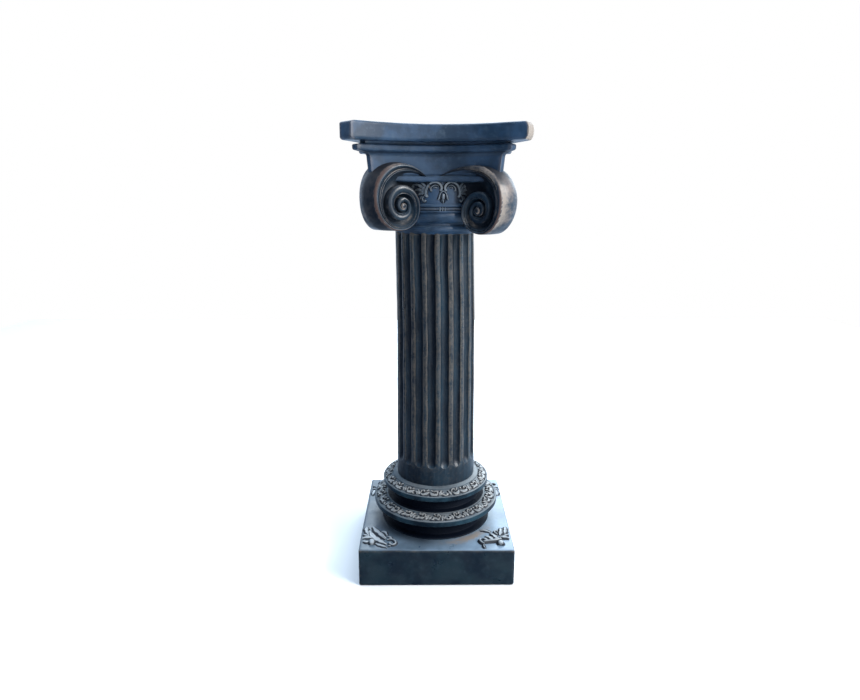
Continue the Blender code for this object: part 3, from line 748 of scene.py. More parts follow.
def capital_core(material):
    """Astragal, echinus, fillets and panel drum, turned as one. On each side the drum is painted dark with
    shade behind the leaves, the echinus is painted darker to the left, away from the light, the grooves
    between the fillets are painted dark with shade, and the fillet between them is painted lighter."""
    points, corners = turned(softened(CORE_PROFILE, 0.9), wander=0.25, seed=21)
    height = points[:, 2]
    angle = np.arctan2(points[:, 1], points[:, 0]) + QUARTER
    side = np.round(angle / QUARTER)
    arc = np.abs(angle - side * QUARTER) * PANEL_RADIUS - PANEL_SHIFT / 2 * (side == 0)
    # Painted shade on the drum behind the leaves
    panel_shade = 0.85 * ease((np.abs(arc) - PANEL_MIDDLE) / 6) * within(height, *PANEL_DARK, 3)
    # The echinus painted darker to the left, away from the light
    shaded_left = 0.5 * ease(-points[:, 0] / 45) * ease((632 - height) / 3)
    # Painted shade in the grooves between the fillets
    grooves = [bell(height, groove, 0.9, 4) for groove in FILLET_GROOVES]
    points[:, 3] = np.max([panel_shade, shaded_left, *grooves], axis=0)
    # The fillet between the grooves is painted lighter
    points[:, 4] = 0.3 * bell(height, FILLET_BEAD, 0.7, 4)
    return make_piece("capital_core", [(points, corners)], material)


def panel_place(part, side, shift):
    """Relief on the drum: x becomes an arc around the axis and height stands along the radius."""
    angle = side * QUARTER - QUARTER + (part[..., 0] + shift) / PANEL_RADIUS
    radius = PANEL_RADIUS - 0.2 + part[..., 2]
    return np.stack([radius * np.cos(angle), radius * np.sin(angle), part[..., 1], part[..., 3]], axis=-1)


def panel_half():
    """Right half of the scroll panel, with x from its middle and y as height: the great scroll that springs
    from a knob beside the middle and arches out and down to a curl, a second line inside it that ends in
    a knob, a small curl below, and a spray of acanthus leaves towards the volute."""
    great = path([(6.4, 666.6), (3.6, 666.8), (2.6, 670.4), (5.0, 675.2), (10.4, 678.4), (16.8, 677.8),
                  (22.0, 674.6), (25.2, 669.6), (26.6, 663.8), (26.4, 658.6), (23.6, 656.2)], 46)
    inside = path([(6.2, 671.6), (10.8, 673.8), (15.6, 673.0), (18.8, 669.8), (19.2, 666.2),
                   (17.2, 665.4)], 26)
    under = path([(26.6, 660.0), (30.4, 656.6), (32.4, 652.6), (29.6, 649.4), (26.6, 651.2)], 22)
    return [
        ridge(great, 1.9, 3.6, taper=(1.3, 1.0, 1.3), groove=0.3),
        ridge(inside, 1.15, 2.6, taper=(0.5, 1.0, 1.6)),
        ridge(under, 1.4, 3.0, taper=(0.7, 1.0, 1.6)),
        leaf(path([(9.0, 669.4), (13.0, 670.8), (16.4, 669.4)], 14), 1.3, 2.0, lobes=1),
        leaf(path([(25.6, 668.0), (29.0, 673.8), (35.0, 677.8)], 18), 2.6, 3.2, lobes=3),
        leaf(path([(27.2, 665.6), (32.6, 670.8), (40.4, 674.6), (47.0, 674.4)], 20), 3.0, 3.4, lobes=4),
        leaf(path([(27.6, 663.0), (33.4, 666.0), (40.0, 667.4), (45.6, 664.6)], 20), 2.9, 3.2, lobes=4),
        leaf(path([(27.8, 660.6), (32.6, 661.6), (37.4, 660.8), (41.0, 657.4)], 18), 2.5, 3.0, lobes=3),
        leaf(path([(30.0, 657.0), (34.0, 655.6), (37.0, 652.0)], 16), 2.2, 2.8, lobes=3),
        leaf(path([(46.0, 676.0), (50.0, 670.0), (52.0, 662.0)], 16), 2.4, 2.6, lobes=3),
    ]


def panel_middle():
    """Middle of the scroll panel: an oval bud that runs down to a point, under a horseshoe arch on two small
    feet, and a crossing of two short stems above it."""
    arch_line = path([(-8.4, 651.4), (-6.6, 654.2), (-5.2, 659.6), (-2.6, 663.6), (0.0, 664.6), (2.6, 663.6),
                      (5.2, 659.6), (6.6, 654.2), (8.4, 651.4)], 34)
    return [
        ridge(arch_line, 1.15, 2.6, taper=(1.5, 1.0, 1.5)),
        ridge(path([(0.0, 661.0), (0.0, 656.6), (0.0, 652.2)], 16), 2.6, 4.0, taper=(0.9, 1.15, 0.8)),
        ridge(path([(0.0, 653.0), (0.0, 649.4), (0.0, 645.8)], 12), 1.5, 2.6, taper=(1.0, 0.8, 0.3)),
        ridge(path([(-4.6, 668.6), (-1.6, 666.0), (1.6, 664.6)], 10), 0.8, 2.0, taper=(1, 1, 1)),
        ridge(path([(4.6, 668.6), (1.6, 666.0), (-1.6, 664.6)], 10), 0.8, 2.0, taper=(1, 1, 1)),
        ridge(path([(-4.0, 655.0), (-3.4, 650.4), (-1.4, 647.2)], 12), 0.9, 1.8, taper=(1, 1, 0.6)),
        ridge(path([(4.0, 655.0), (3.4, 650.4), (1.4, 647.2)], 12), 0.9, 1.8, taper=(1, 1, 0.6)),
    ]


def fillet_knot():
    """Three small upright beads that tie the two fillets below the panel."""
    return [ridge(path([(across, 633.4), (across, 637.0), (across, 640.6)], 12), 1.25, 4.6,
                  taper=(0.8, 1.2, 0.8), sunk=0.5) for across in (-5.0, -1.2, 2.6)]


def scroll_panels(material):
    """Scrollwork on the drum between the volutes, on all four sides."""
    patches = []
    for side in range(4):
        shift = PANEL_SHIFT if side == 0 else 0.0
        half = panel_half()
        for part in half + [mirrored(part) for part in half] + panel_middle() + fillet_knot():
            patches.append(capped(panel_place(part, side, shift)))
    return make_piece("scroll_panels", patches, material, depth=0.4)


def hollow_square(middle, corner, cut, points):
    """Plan outline with four hollow sides and cut corners. A side bows inwards as a parabola, from its
    corners to the middle distance; each cut is a straight between two sides."""
    along = np.linspace(-1, 1, points)
    side = np.stack([along * (corner - cut), -(middle + (corner - middle) * along ** 2)], axis=1)
    share = np.linspace(0, 1, CUT_POINTS + 2)[1:-1, None]
    end = np.array([[corner - cut, -corner]])
    after = np.array([[corner, -(corner - cut)]])
    return four_ways(np.concatenate([side, end + (after - end) * share]))


def stacked(levels, points):
    """Loft of hollow squares, one for each level."""
    rows = []
    for middle, corner, cut, shift, height in levels:
        outline = hollow_square(middle, corner, cut, points) + np.array([shift, 0.0])
        rows.append(np.column_stack([outline, np.full(len(outline), height)]))
    return np.array(rows)


# Levels of the block and of the abacus: the distance from the axis to the middle of a side and to the
# corner's sides, the cut, the shift along X, the height and the softness of the arris
BLOCK_LEVELS = (
    (76.0, 90.0, 6, 0, 678.5, 0), (82.0, 95.0, 6, 0, 679.2, 1.0), (83.0, 96.0, 6, 0, 681.0, 1.0),
    (83.0, 96.0, 6, 0, 686.6, 1.2), (78.5, 93.0, 6, BLOCK_SHIFT, 687.6, 0.4),
    (78.5, 95.0, 6, BLOCK_SHIFT, 689.0, 0.4), (80.0, 102.5, 6, BLOCK_SHIFT, 689.4, 0.8),
    (82.0, 105.0, 6, BLOCK_SHIFT, 717.4, 2.0), (85.0, 109.5, 6.8, BLOCK_SHIFT, 720.6, 1.0),
    (92.6, 120.3, 8.5, BAND_SHIFT, 723.4, 0.8), (93.0, 121.5, 8.5, BAND_SHIFT, 725.5, 1.2),
    (93.0, 121.5, 8.5, BAND_SHIFT, 730.6, 1.2), (91.5, 119.0, 8.5, BAND_SHIFT, 732.0, 1.0),
    (87.5, 113.0, 8.5, BLOCK_SHIFT, 732.8, 0.6), (88.5, 116.0, 9, 0, 738.0, 0),
)
ABACUS_LEVELS = (
    (86.0, 112.0, 14, 0, 736.2, 0), (105.6, 140.0, ABACUS_CUT, 0, ABACUS_FOOT, 1.6),
    (108.6, ABACUS_CORNER, ABACUS_CUT, 0, 738.6, 2.0), (108.6, ABACUS_CORNER, ABACUS_CUT, 0, 750.0, 2.0),
    (108.6, ABACUS_CORNER, ABACUS_CUT, 0, 760.0, 2.4), (104.6, 139.0, ABACUS_CUT, 0, ABACUS_TOP, 2.4),
    (70.0, 90.0, 8.0, 0, ABACUS_TOP, 6.0), (30.0, 40.0, 2.0, 0, ABACUS_TOP, 0),
)


def capital_block(material):
    """Fillet, block, cavetto and band between the volutes and the abacus. The block's lower corners are
    rubbed bare in small ragged flecks, and shade is painted under the band."""
    grid = stacked(softened(BLOCK_LEVELS, 2.0), BLOCK_POINTS)
    grid[..., :2] *= (1 + 0.002 * uneven(grid, 60, 31))[..., None]
    corner = np.abs(grid[..., :2]).min(axis=-1)
    flecks = ease((corner - 84) / 8) * ease((693 - grid[..., 2]) / 4) * ease((grid[..., 2] - 688.4) / 0.5)
    bare_and_lit = 0.8 * ease((uneven(grid, 5, 35) * flecks - 0.1) / 0.3)
    # Painted shade on the chamfer under the band
    shade_and_grime = 0.75 * bell(grid[..., 2], 720.6, 1.6)
    return make_piece("capital_block", [capped(with_marks(grid, shade_and_grime, bare_and_lit))], material)


def corner_past(points):
    """How far points lie past the worn break at the front right corner, square to the break. It stands
    out most at half the height, is worn back towards the top and the underside, and is rough."""
    out = points[..., :2] @ BREAK_WAY
    across = points[..., :2] @ BREAK_ALONG
    aside = np.minimum(np.abs(across - BREAK_MIDDLE), 25)
    height = np.clip((points[..., 2] - ABACUS_FOOT) / ABACUS_HEIGHT, 0, 1)
    reach = BREAK_REACH - 6.0 * np.abs((height - 0.47) / 0.5) ** 3 - 0.006 * aside ** 2
    flat = np.stack([across, 0 * across, 0.7 * points[..., 2]], axis=-1)
    return out - reach - uneven(flat, 9, 41) * 0.6


def drawn_out(along, square_to):
    """How far the front right corner is drawn out: eased in along one side up to the cut, and evenly square
    to it over the width of the cut."""
    cut_from = ABACUS_CORNER - ABACUS_CUT
    share = np.clip((square_to - cut_from) / ABACUS_CUT, 0, 1)
    return DRAWN_OUT * ease((along - DRAWN_FROM) / (cut_from - DRAWN_FROM)) * share


def abacus(material):
    """Hollow-sided slab with cut corners. It dips a little away from its front left corner. Its front
    right corner is drawn out to less of a cut, and then broken."""
    grid = stacked(softened(ABACUS_LEVELS, 2.2), ABACUS_POINTS)
    dip = 1.3 * ease((grid[..., 0] + 130) / 130) * ease((60 - grid[..., 1]) / 100)
    grid[..., 2] -= dip * ease((grid[..., 2] - 740) / 18)
    outer = np.linalg.norm(grid[..., :2], axis=-1) > 95
    grid[..., :2] *= (1 + 0.0022 * (np.clip(uneven(grid, 45, 33), -1, 1) - 1.05) * outer)[..., None]
    right, front = grid[..., 0].copy(), -grid[..., 1]
    grid[..., 0] += drawn_out(right, front)
    grid[..., 1] -= drawn_out(front, right)
    past = corner_past(grid)
    grid[..., :2] -= np.maximum(past, 0.0)[..., None] * BREAK_WAY
    bare_and_lit = ease((past + 0.15) / 0.3)
    return make_piece("abacus", [capped(with_marks(grid, 0 * bare_and_lit, bare_and_lit))], material)


def ridges_across(share, ridges):
    """Height of rounded ridges side by side across a whorl, each a sine, filled out, between two shares."""
    total = 0.0
    for start, end, height in ridges:
        inside = np.clip((share - start) / (end - start), 0, 1)
        total = total + height * np.sin(math.pi * inside) ** 0.75
    return total


def whorl_profile(ridge_share, width, turn, top_ridge):
    """Across a whorl, from its outer edge to the wall of the next whorl: the share of its width, the depth
    below the proud face, the painted shade, and the bareness and painted light.

    The outer whorl's band carries a broad rounded ridge and two thin beads, the second whorl's a broader
    ridge and one bead, and the third's a plain ridge. The canal beside the band falls as a sine, is deepest
    at the wall and is painted dark with shade there. Where the volute starts, the band rises over the block
    and the canal sinks away. The outer whorl is rubbed brown along its edge and has a painted highlight along
    its first bead, and part of the canal floor further in is painted paler.
    """
    share = np.linspace(0, 1, BAND_ROWS)[:, None]
    second, third = (ease((turn - start) / length)[None, :] for start, length in (SECOND_WHORL, THIRD_WHORL))
    size = np.clip(width / 17, 0.12, 1.0)[None, :]
    crown = OUTER_RIDGE + top_ridge * bell(turn, 0.15, 0.7)[None, :]
    outer_band = ridges_across(share, CROWN_RIDGE) * crown + ridges_across(share, OUTER_BEADS)
    inner_band = ridges_across(share, SECOND_RIDGES) * (1 - third)
    inner_band = inner_band + ridges_across(share, THIRD_RIDGES) * third
    ridge_height = outer_band * (1 - second) + inner_band * second
    start = ease(-turn / 0.75)[None, :]
    band = (0.5 + 1.1 * share - ridge_height) * size - START_RISE * start
    canal = np.linspace(0, 1, CANAL_ROWS)[1:, None]
    sinking = START_CANAL * ease((0.35 - turn) / 1.05)[None, :]
    floor_depth = 1.6 * size + (CANAL_DEPTH * size + sinking) * np.sin(QUARTER * canal ** 0.8)
    floor_depth = floor_depth - START_RISE * start * (1 - ease(canal / 0.12))
    place = np.concatenate([share * ridge_share, ridge_share + (0.985 - ridge_share) * canal])
    # Painted shade in the canal, darkest at the wall
    dirt_and_shade = np.concatenate([0 * band, ease(canal / 0.7) * (0.5 + 0.45 * second)])
    brown = 0.8 * (1 - ease((share - 0.12) / 0.2)) * ease((turn - 0.1) / 0.6)
    # Painted highlight along the first bead
    bead_highlight = 0.55 * bell(share, 0.71, 0.04) * (0.6 + 0.4 * np.sin(5 * turn + 0.4))
    # Part of the canal floor painted paler
    pale_floor = 0.35 * bell(turn, 3.7, 0.6) * bell(canal, 0.35, 0.3)
    bare_and_lit = np.concatenate([(bead_highlight - brown) * (1 - second), pale_floor])
    return place, np.concatenate([band, floor_depth]), dirt_and_shade * (1 - np.abs(bare_and_lit)), bare_and_lit


def rim_marks(lateral, around, rubbed):
    """Painted shade, and bareness with a painted highlight, on a rim, across it from the front face to the
    back one and around it. Shade is painted along the front face and under the block. A rubbed rim is bare
    along the front face instead, with a painted highlight there, less so towards its other edge and low down."""
    # Painted shade under the block and along the front face
    under_block = 1 - ease((around - 0.45) / 0.45)
    shaded = 0.85 * (1 - ease((lateral - 0.5) / 0.3)) * (1 - rubbed)
    dirt_and_shade = np.maximum(shaded, under_block)
    # A rubbed rim: bare resin, with a painted highlight along the front face
    across = 0.85 - 0.82 * ease((lateral - 0.02) / 0.48)
    bare_and_lit = rubbed * across * ease((around - 0.6) / 0.6) * (1 - 0.75 * ease((around - 1.9) / 0.7))
    return dirt_and_shade, bare_and_lit


def eye_bulb(out_way, side_way, middle, radius, height):
    """Oval bulb in the eye: its radius is the sine, and its height the cosine, of the angle from its top."""
    turn = np.linspace(0, 2 * math.pi, 24, endpoint=False)
    angle = np.linspace(0.05, 0.62 * math.pi, 9)[:, None]
    across = radius * np.sin(angle) * np.cos(turn)
    up = 1.15 * radius * np.sin(angle) * np.sin(turn)
    proud = height * np.cos(angle) + 0 * turn
    return capped(middle + out_way * across[..., None] + UPRIGHT * up[..., None]
                  + side_way * proud[..., None])


def spiral(turn, style):
    """Radii of a whorl's outer edge and of the next whorl's, and the share of the width between them that
    the band takes, at each turn. The last whorl runs in to the middle."""
    radii = style["radii"]
    ridges = style["ridges"]
    outer = catmull(turn / QUARTER + 1, radii)
    inner = catmull(np.minimum(turn / QUARTER + 5, len(radii) - 1), radii)
    inner = np.where(turn + 2 * math.pi > turn[-1] + 1e-6, 0.0, inner)
    ridge_share = catmull(np.minimum(turn / QUARTER + 1, len(ridges) - 1), ridges)
    return outer, inner, np.maximum(ridge_share, NARROWEST_BAND)


def volute_rim(near, far, turn, diagonal, near_is_front, rubbed):
    """Patches that join the two faces, given as grids: the rim along the first turn, which swells out across
    as a sine, less so low down and where it starts, and the wall at the start of the spiral."""
    lateral = np.linspace(0, 1, RIM_ROWS)[:, None, None]
    around = turn[:COLUMNS_PER_TURN + 1]
    near_edge, far_edge = (face[0, :COLUMNS_PER_TURN + 1, :3] for face in (near, far))
    outward = (diagonal * np.sin(around)[:, None] + UPRIGHT * np.cos(around)[:, None])[None]
    low = 1 - 0.9 * ease((around - 1.6) / 0.9)
    swell = RIM_SWELL * np.sin(math.pi * lateral) * (low * ease(around - turn[0]))[None, :, None]
    raised = outward * swell
    rim = near_edge[None] + (far_edge - near_edge)[None] * lateral + raised
    from_front = lateral[..., 0] if near_is_front else 1 - lateral[..., 0]
    near_start, far_start = near[:, :1, :3], far[:, :1, :3]
    wall = near_start + (far_start - near_start) * lateral.reshape(1, -1, 1)
    down = np.linspace(0, 1, len(wall))[:, None, None]
    wall = wall + (1 - down) * raised[:, 0][None] + down * raised[:, -1][None]
    return [patch(with_marks(rim, *rim_marks(from_front, around[None], rubbed))), patch(wall)]


def volute(name, corner, style, rubbed, material):
    """Corner volute as a closed shell: two spiral faces and the rounded rim that joins them.

    A face point lies out along the diagonal by the eye's distance plus r sin(turn), at the eye's height
    plus r cos(turn), and off the diagonal plane by the half thickness there less its depth. r runs from a
    whorl's outer edge to the outer edge one turn further in, where a wall climbs back to the proud face.
    """
    side_x, side_y = corner
    diagonal = np.array([side_x, side_y, 0.0]) / math.sqrt(2)
    crosswise = np.array([-side_y, side_x, 0.0]) / math.sqrt(2)
    count = int(VOLUTE_TURNS * COLUMNS_PER_TURN) + 1
    walled = count - COLUMNS_PER_TURN
    turn = VOLUTE_START + np.arange(count) * 2 * math.pi / COLUMNS_PER_TURN
    outer, inner, ridge_share = spiral(turn, style)
    place, depth, dirt_and_shade, bare_and_lit = whorl_profile(ridge_share, outer - inner, turn, style["top_ridge"])
    # Painted light on the top of the first turn
    top_light = style["painted_top_light"] * bell(turn, 0.35, 0.55) * (np.arange(len(place)) < TOP_ROWS)[:, None]
    bare_and_lit = bare_and_lit + (1 - bare_and_lit) * top_light
    # Painted shade at the start, under the block
    dirt_and_shade = np.maximum(dirt_and_shade, style["painted_start_shade"] * ease((-0.1 - turn) / 0.4))
    radius = outer - place * (outer - inner)
    depth = depth - EYE_RISE * (turn - turn[0]) / (turn[-1] - turn[0])

    def face_points(face, turns, radii, sunk):
        """Points of one face at turns and radii, sunk below its proud surface."""
        out = style["eye_out"] + radii * np.sin(turns)
        inward = style["edge_out"] - out
        half = style["edge_half"] + style["slope"] * inward + style["bow"] * inward ** 2 - sunk
        height = style["eye_height"] + radii * np.cos(turns)
        return diagonal * out[..., None] + crosswise * (face * half)[..., None] + UPRIGHT * height[..., None]

    patches = []
    faces = []
    for face in (1, -1):
        grid = with_marks(face_points(face, np.broadcast_to(turn, radius.shape), radius, depth), dirt_and_shade, bare_and_lit)
        centre = face_points(face, turn[-1:], np.zeros(1), np.full(1, -EYE_RISE))
        wall = grid[-1].copy()
        wall[:walled, :3] = grid[0, COLUMNS_PER_TURN:, :3]
        wall[walled:, :3] = centre
        wall[:, 3] *= 0.5
        grid = np.concatenate([grid, wall[None]])
        end = grid[:, -1]
        patches.append(patch(grid))
        patches.append(patch(np.stack([end, np.repeat(end[:1], len(end), axis=0)])))
        patches.append(eye_bulb(diagonal, crosswise * face, centre[0], EYE_RADIUS, EYE_HEIGHT))
        faces.append(grid)
    patches += volute_rim(*faces, turn, diagonal, side_x * side_y > 0, rubbed)
    return make_piece(name, patches, material, sharp=50, rounds=3, depth=0.3)


# The two kinds of volute: radii and band shares, where the eye lies along the diagonal and in height, the
# half thickness at the outer edge and how it grows inwards, the extra height of the ridge at the top, and
# how much painted light lies on the top and how much painted shade on the start
BROAD = {"radii": BROAD_RADII, "ridges": BROAD_RIDGES, "eye_out": 105.5, "eye_height": 642.0,
         "edge_out": 150.0, "edge_half": 17.7, "slope": 0.268, "bow": 0.0, "top_ridge": 0.6, "painted_top_light": 0.0,
         "painted_start_shade": 0.0}
NARROW = {"radii": NARROW_RADII, "ridges": NARROW_RIDGES, "eye_out": 111.2, "eye_height": 635.0,
          "edge_out": 152.0, "edge_half": 18.9, "slope": -0.13, "bow": 0.0045, "top_ridge": 2.4,
          "painted_top_light": 0.6, "painted_start_shade": 0.9}

# Each volute's corner, kind and how far its rim is rubbed bare and has a painted highlight
VOLUTES = {
    "volute.front.left": ((-1, -1), BROAD, 0.0),
    "volute.front.right": ((1, -1), NARROW, 1.0),
    "volute.back.right": ((1, 1), BROAD, 0.4),
    "volute.back.left": ((-1, 1), NARROW, 0.0),
}

# Corner sprays: points along a part, the share that its given width is drawn in to, and its section
SPRAY_POINTS = 30
SPRAY_WIDTH = 0.88
SPRAY_SECTION = {"sunk": 2, "fullness": 0.45}


def broad_leaf(line, width, height, lobes):
    """Leaf of a corner spray, standing on the plinth with a wide fringe painted dark with shade."""
    return leaf(path(line, SPRAY_POINTS), SPRAY_WIDTH * width, height, lobes=lobes, crease=0.45, skirt=3.0,
                **SPRAY_SECTION)


def round_stem(line, width, height, taper):
    """Stem, curl or bud of a corner spray."""
    return ridge(path(line, SPRAY_POINTS), SPRAY_WIDTH * width, height, taper=taper, skirt=2.6,
                 **SPRAY_SECTION)


def spray_left():
    """Spray of the front left corner, in the plinth's own places: broad leaves that fan out from the corner
    close together, a bud, and a thin curl at the right end."""
    return [
        broad_leaf([(-127.0, -60.0), (-126.0, -74.0), (-120.5, -90.0)], 5.2, 4.6, 3),
        broad_leaf([(-121.0, -70.0), (-114.0, -90.0), (-105.0, -102.0), (-97.0, -109.5), (-86.0, -117.5)],
                   7.4, 4.8, 4),
        broad_leaf([(-116.0, -58.0), (-108.0, -74.0), (-99.0, -86.0), (-89.0, -97.5)], 5.8, 4.4, 3),
        broad_leaf([(-132.0, -97.5), (-122.0, -95.5), (-111.0, -98.5)], 4.8, 4.6, 2),
        broad_leaf([(-130.0, -84.0), (-126.5, -88.0), (-119.5, -91.5)], 3.2, 4.0, 2),
        round_stem([(-113.5, -105.5), (-113.0, -112.0), (-112.5, -118.0)], 5.4, 6.0, (0.9, 1.1, 0.8)),
        broad_leaf([(-108.0, -112.0), (-100.0, -118.5), (-93.0, -122.5), (-84.5, -127.5)], 3.6, 3.6, 3),
        broad_leaf([(-99.0, -75.0), (-92.0, -79.0), (-87.5, -90.0)], 3.4, 3.8, 2),
        broad_leaf([(-87.0, -92.0), (-82.0, -95.0), (-78.0, -101.0)], 2.6, 3.4, 2),
        round_stem([(-88.0, -104.0), (-80.0, -102.0), (-73.5, -107.0), (-71.0, -114.5), (-75.5, -120.0),
                    (-81.0, -117.5), (-80.0, -112.5)], 1.9, 3.8, (0.8, 1.0, 1.2)),
        round_stem([(-83.5, -121.5), (-80.0, -123.0)], 1.6, 3.0, (1.0, 1.0, 1.0)),
        round_stem([(-128.5, -108.0), (-123.5, -111.0), (-119.0, -109.5)], 2.2, 3.4, (0.9, 1.0, 0.9)),
        round_stem([(-104.0, -86.0), (-97.0, -94.5), (-90.0, -101.5)], 1.3, 3.6, (0.8, 1.0, 0.7)),
    ]


def spray_right():
    """Spray of the front right corner: a long stem along the front with a hook at its left end, a bud, and
    crowded leaves that stand up and out from it."""
    return [
        round_stem([(82.0, -111.0), (93.0, -109.0), (106.0, -107.0), (116.0, -101.0)], 2.5, 5.0,
                   (0.8, 1.0, 0.9)),
        round_stem([(84.0, -117.0), (79.0, -113.0), (76.5, -107.0), (79.0, -101.5)], 1.9, 4.4,
                   (0.7, 1.1, 0.9)),
        round_stem([(112.5, -110.0), (112.5, -115.0), (112.0, -120.5)], 5.4, 6.0, (0.8, 1.15, 0.9)),
        broad_leaf([(113.0, -93.0), (121.0, -96.0), (130.0, -99.5)], 4.4, 5.0, 2),
        broad_leaf([(123.5, -84.0), (125.5, -73.0), (127.0, -60.0)], 4.2, 4.6, 3),
        broad_leaf([(114.0, -89.0), (117.0, -77.0), (118.0, -64.0)], 4.4, 4.6, 3),
        round_stem([(110.0, -87.0), (105.5, -82.0), (107.0, -76.0), (111.5, -77.5)], 1.7, 3.8,
                   (0.9, 1.0, 1.2)),
        broad_leaf([(108.0, -99.0), (103.0, -90.0), (96.0, -83.5)], 4.6, 4.4, 3),
        broad_leaf([(100.5, -103.5), (94.5, -96.0), (86.0, -92.0)], 4.6, 4.2, 3),
        broad_leaf([(91.0, -105.0), (87.0, -101.0), (81.0, -99.0)], 3.2, 3.8, 2),
        broad_leaf([(99.0, -79.0), (89.0, -72.5), (79.0, -72.0)], 3.4, 2.6, 2),
        broad_leaf([(119.5, -91.0), (124.5, -89.5), (129.5, -86.0)], 2.6, 3.8, 2),
        broad_leaf([(102.0, -103.0), (108.0, -99.5), (112.0, -97.0)], 2.8, 4.6, 2),
        round_stem([(82.5, -119.0), (82.0, -124.0), (84.0, -129.0)], 1.2, 2.6, (1.0, 1.0, 0.7)),
    ]


def corner_sprays(material):
    """Leaf sprays on the plinth's corners. Each back corner repeats the front one across from it, turned by
    half a turn."""
    patches = []
    for part in spray_left() + spray_right():
        for way in (1.0, -1.0):
            place = part * np.array([way, way, 1.0, 1.0]) + np.array([0.0, 0.0, PLINTH_HEIGHT - 0.6, 0.0])
            patches.append(capped(place))
    return make_piece("corner_sprays", patches, material)


# Distance from the axis, in metres, within which the dust and painted sheen grow from their left share, on
# the side away from the light, to their whole
DUST_AND_SHEEN_SIDE = 0.12

# Kinds of socket
COLOUR_SOCKET = "NodeSocketColor"
VALUE_SOCKET = "NodeSocketFloat"


def feed(tree, socket, value):
    """Give a socket a value, or link another node's output to it."""
    if isinstance(value, bpy.types.NodeSocket):
        tree.links.new(value, socket)
    else:
        socket.default_value = value


def add_node(tree, kind, inputs=None, **settings):
    """A shader node of the given kind. Settings are its own properties; inputs are keyed by the name or the
    number of a socket, and feed it a value or another node's output."""
    node = tree.nodes.new(kind)
    for name, value in settings.items():
        setattr(node, name, value)
    for label, value in (inputs or {}).items():
        feed(tree, node.inputs[label], value)
    return node


def new_group(name, inputs, outputs):
    """Node group with named sockets, and its input and output node. Inputs come with a first value, which is
    a colour or a number; outputs come with their kind."""
    group = bpy.data.node_groups.new(name, "ShaderNodeTree")
    for label, value in inputs.items():
        kind = COLOUR_SOCKET if isinstance(value, tuple) else VALUE_SOCKET
        group.interface.new_socket(label, in_out="INPUT", socket_type=kind).default_value = value
    for label, kind in outputs.items():
        group.interface.new_socket(label, in_out="OUTPUT", socket_type=kind)
    return group, group.nodes.new("NodeGroupInput").outputs, group.nodes.new("NodeGroupOutput").inputs


def object_place(tree):
    """Object coordinates."""
    return add_node(tree, "ShaderNodeTexCoord").outputs["Object"]


def noise(tree, scale, detail, roughness=0.6, coordinates=None):
    """Noise on Object coordinates, or on the ones given."""
    vector = object_place(tree) if coordinates is None else coordinates
    inputs = {"Scale": scale, "Detail": detail, "Roughness": roughness, "Vector": vector}
    return add_node(tree, "ShaderNodeTexNoise", inputs).outputs["Fac"]


def mapped(tree, value, low, high, to_low=0.0, to_high=1.0):
    """Value carried from one range to another, softly, and held within it."""
    inputs = {"Value": value, "From Min": low, "From Max": high, "To Min": to_low, "To Max": to_high}
    return add_node(tree, "ShaderNodeMapRange", inputs, interpolation_type="SMOOTHSTEP").outputs["Result"]


def math_node(tree, operation, first, second):
    """Result of a sum, a product or the like of two values."""
    return add_node(tree, "ShaderNodeMath", {0: first, 1: second}, operation=operation).outputs[0]


def times(tree, *values):
    """Product of values, multiplied one after the other."""
    product = values[0]
    for value in values[1:]:
        product = math_node(tree, "MULTIPLY", product, value)
    return product


def plus(tree, first, second):
    """Sum of two values."""
    return math_node(tree, "ADD", first, second)


def minus(tree, first, second):
    """The first value less the second."""
    return math_node(tree, "SUBTRACT", first, second)


def mixed(tree, share, first, second):
    """Two colours mixed by a share from 0 to 1."""
    return add_node(tree, "ShaderNodeMix", {0: share, 6: first, 7: second}, data_type="RGBA").outputs[2]


def attribute(tree, name):
    """A mark on the mesh's points, as a value."""
    return add_node(tree, "ShaderNodeAttribute", attribute_name=name).outputs["Fac"]


def mottle_group():
    """Cloudy mix of three colours: two sizes of noise choose between deep, body and bloom. A stretch below 1
    draws the clouds out upright into streaks."""
    group, given, end = new_group("patina mottle", {
        "Deep": (0.01, 0.02, 0.03, 1), "Body": (0.03, 0.05, 0.06, 1), "Bloom": (0.1, 0.13, 0.15, 1),
        "Scale": 20.0, "Bloom Amount": 0.4, "Stretch": 1.0}, {"Color": COLOUR_SOCKET})
    squeeze = add_node(group, "ShaderNodeCombineXYZ", {"X": 1.0, "Y": 1.0, "Z": given["Stretch"]})
    inputs = {0: object_place(group), 1: squeeze.outputs[0]}
    drawn = add_node(group, "ShaderNodeVectorMath", inputs, operation="MULTIPLY").outputs["Vector"]
    broad = mapped(group, noise(group, given["Scale"], 5.0, coordinates=drawn), 0.38, 0.62)
    fine = noise(group, times(group, given["Scale"], 6.0), 4.0, coordinates=drawn)
    bloom = times(group, mapped(group, fine, 0.5, 0.75), given["Bloom Amount"])
    base = mixed(group, broad, given["Deep"], given["Body"])
    feed(group, end["Color"], mixed(group, bloom, base, given["Bloom"]))
    return group


def wear_group():
    """Mask of the rubbed places: where the surface is raised, broken up by noise."""
    group, given, end = new_group("rubbed edges", {"Scale": 60.0, "From": 0.25, "To": 0.8},
                                  {"Mask": VALUE_SOCKET})
    broken = mapped(group, noise(group, given["Scale"], 6.0, 0.7), 0.25, 0.75, -0.3, 0.3)
    height = plus(group, attribute(group, "raised"), broken)
    feed(group, end["Mask"], mapped(group, height, given["From"], given["To"]))
    return group


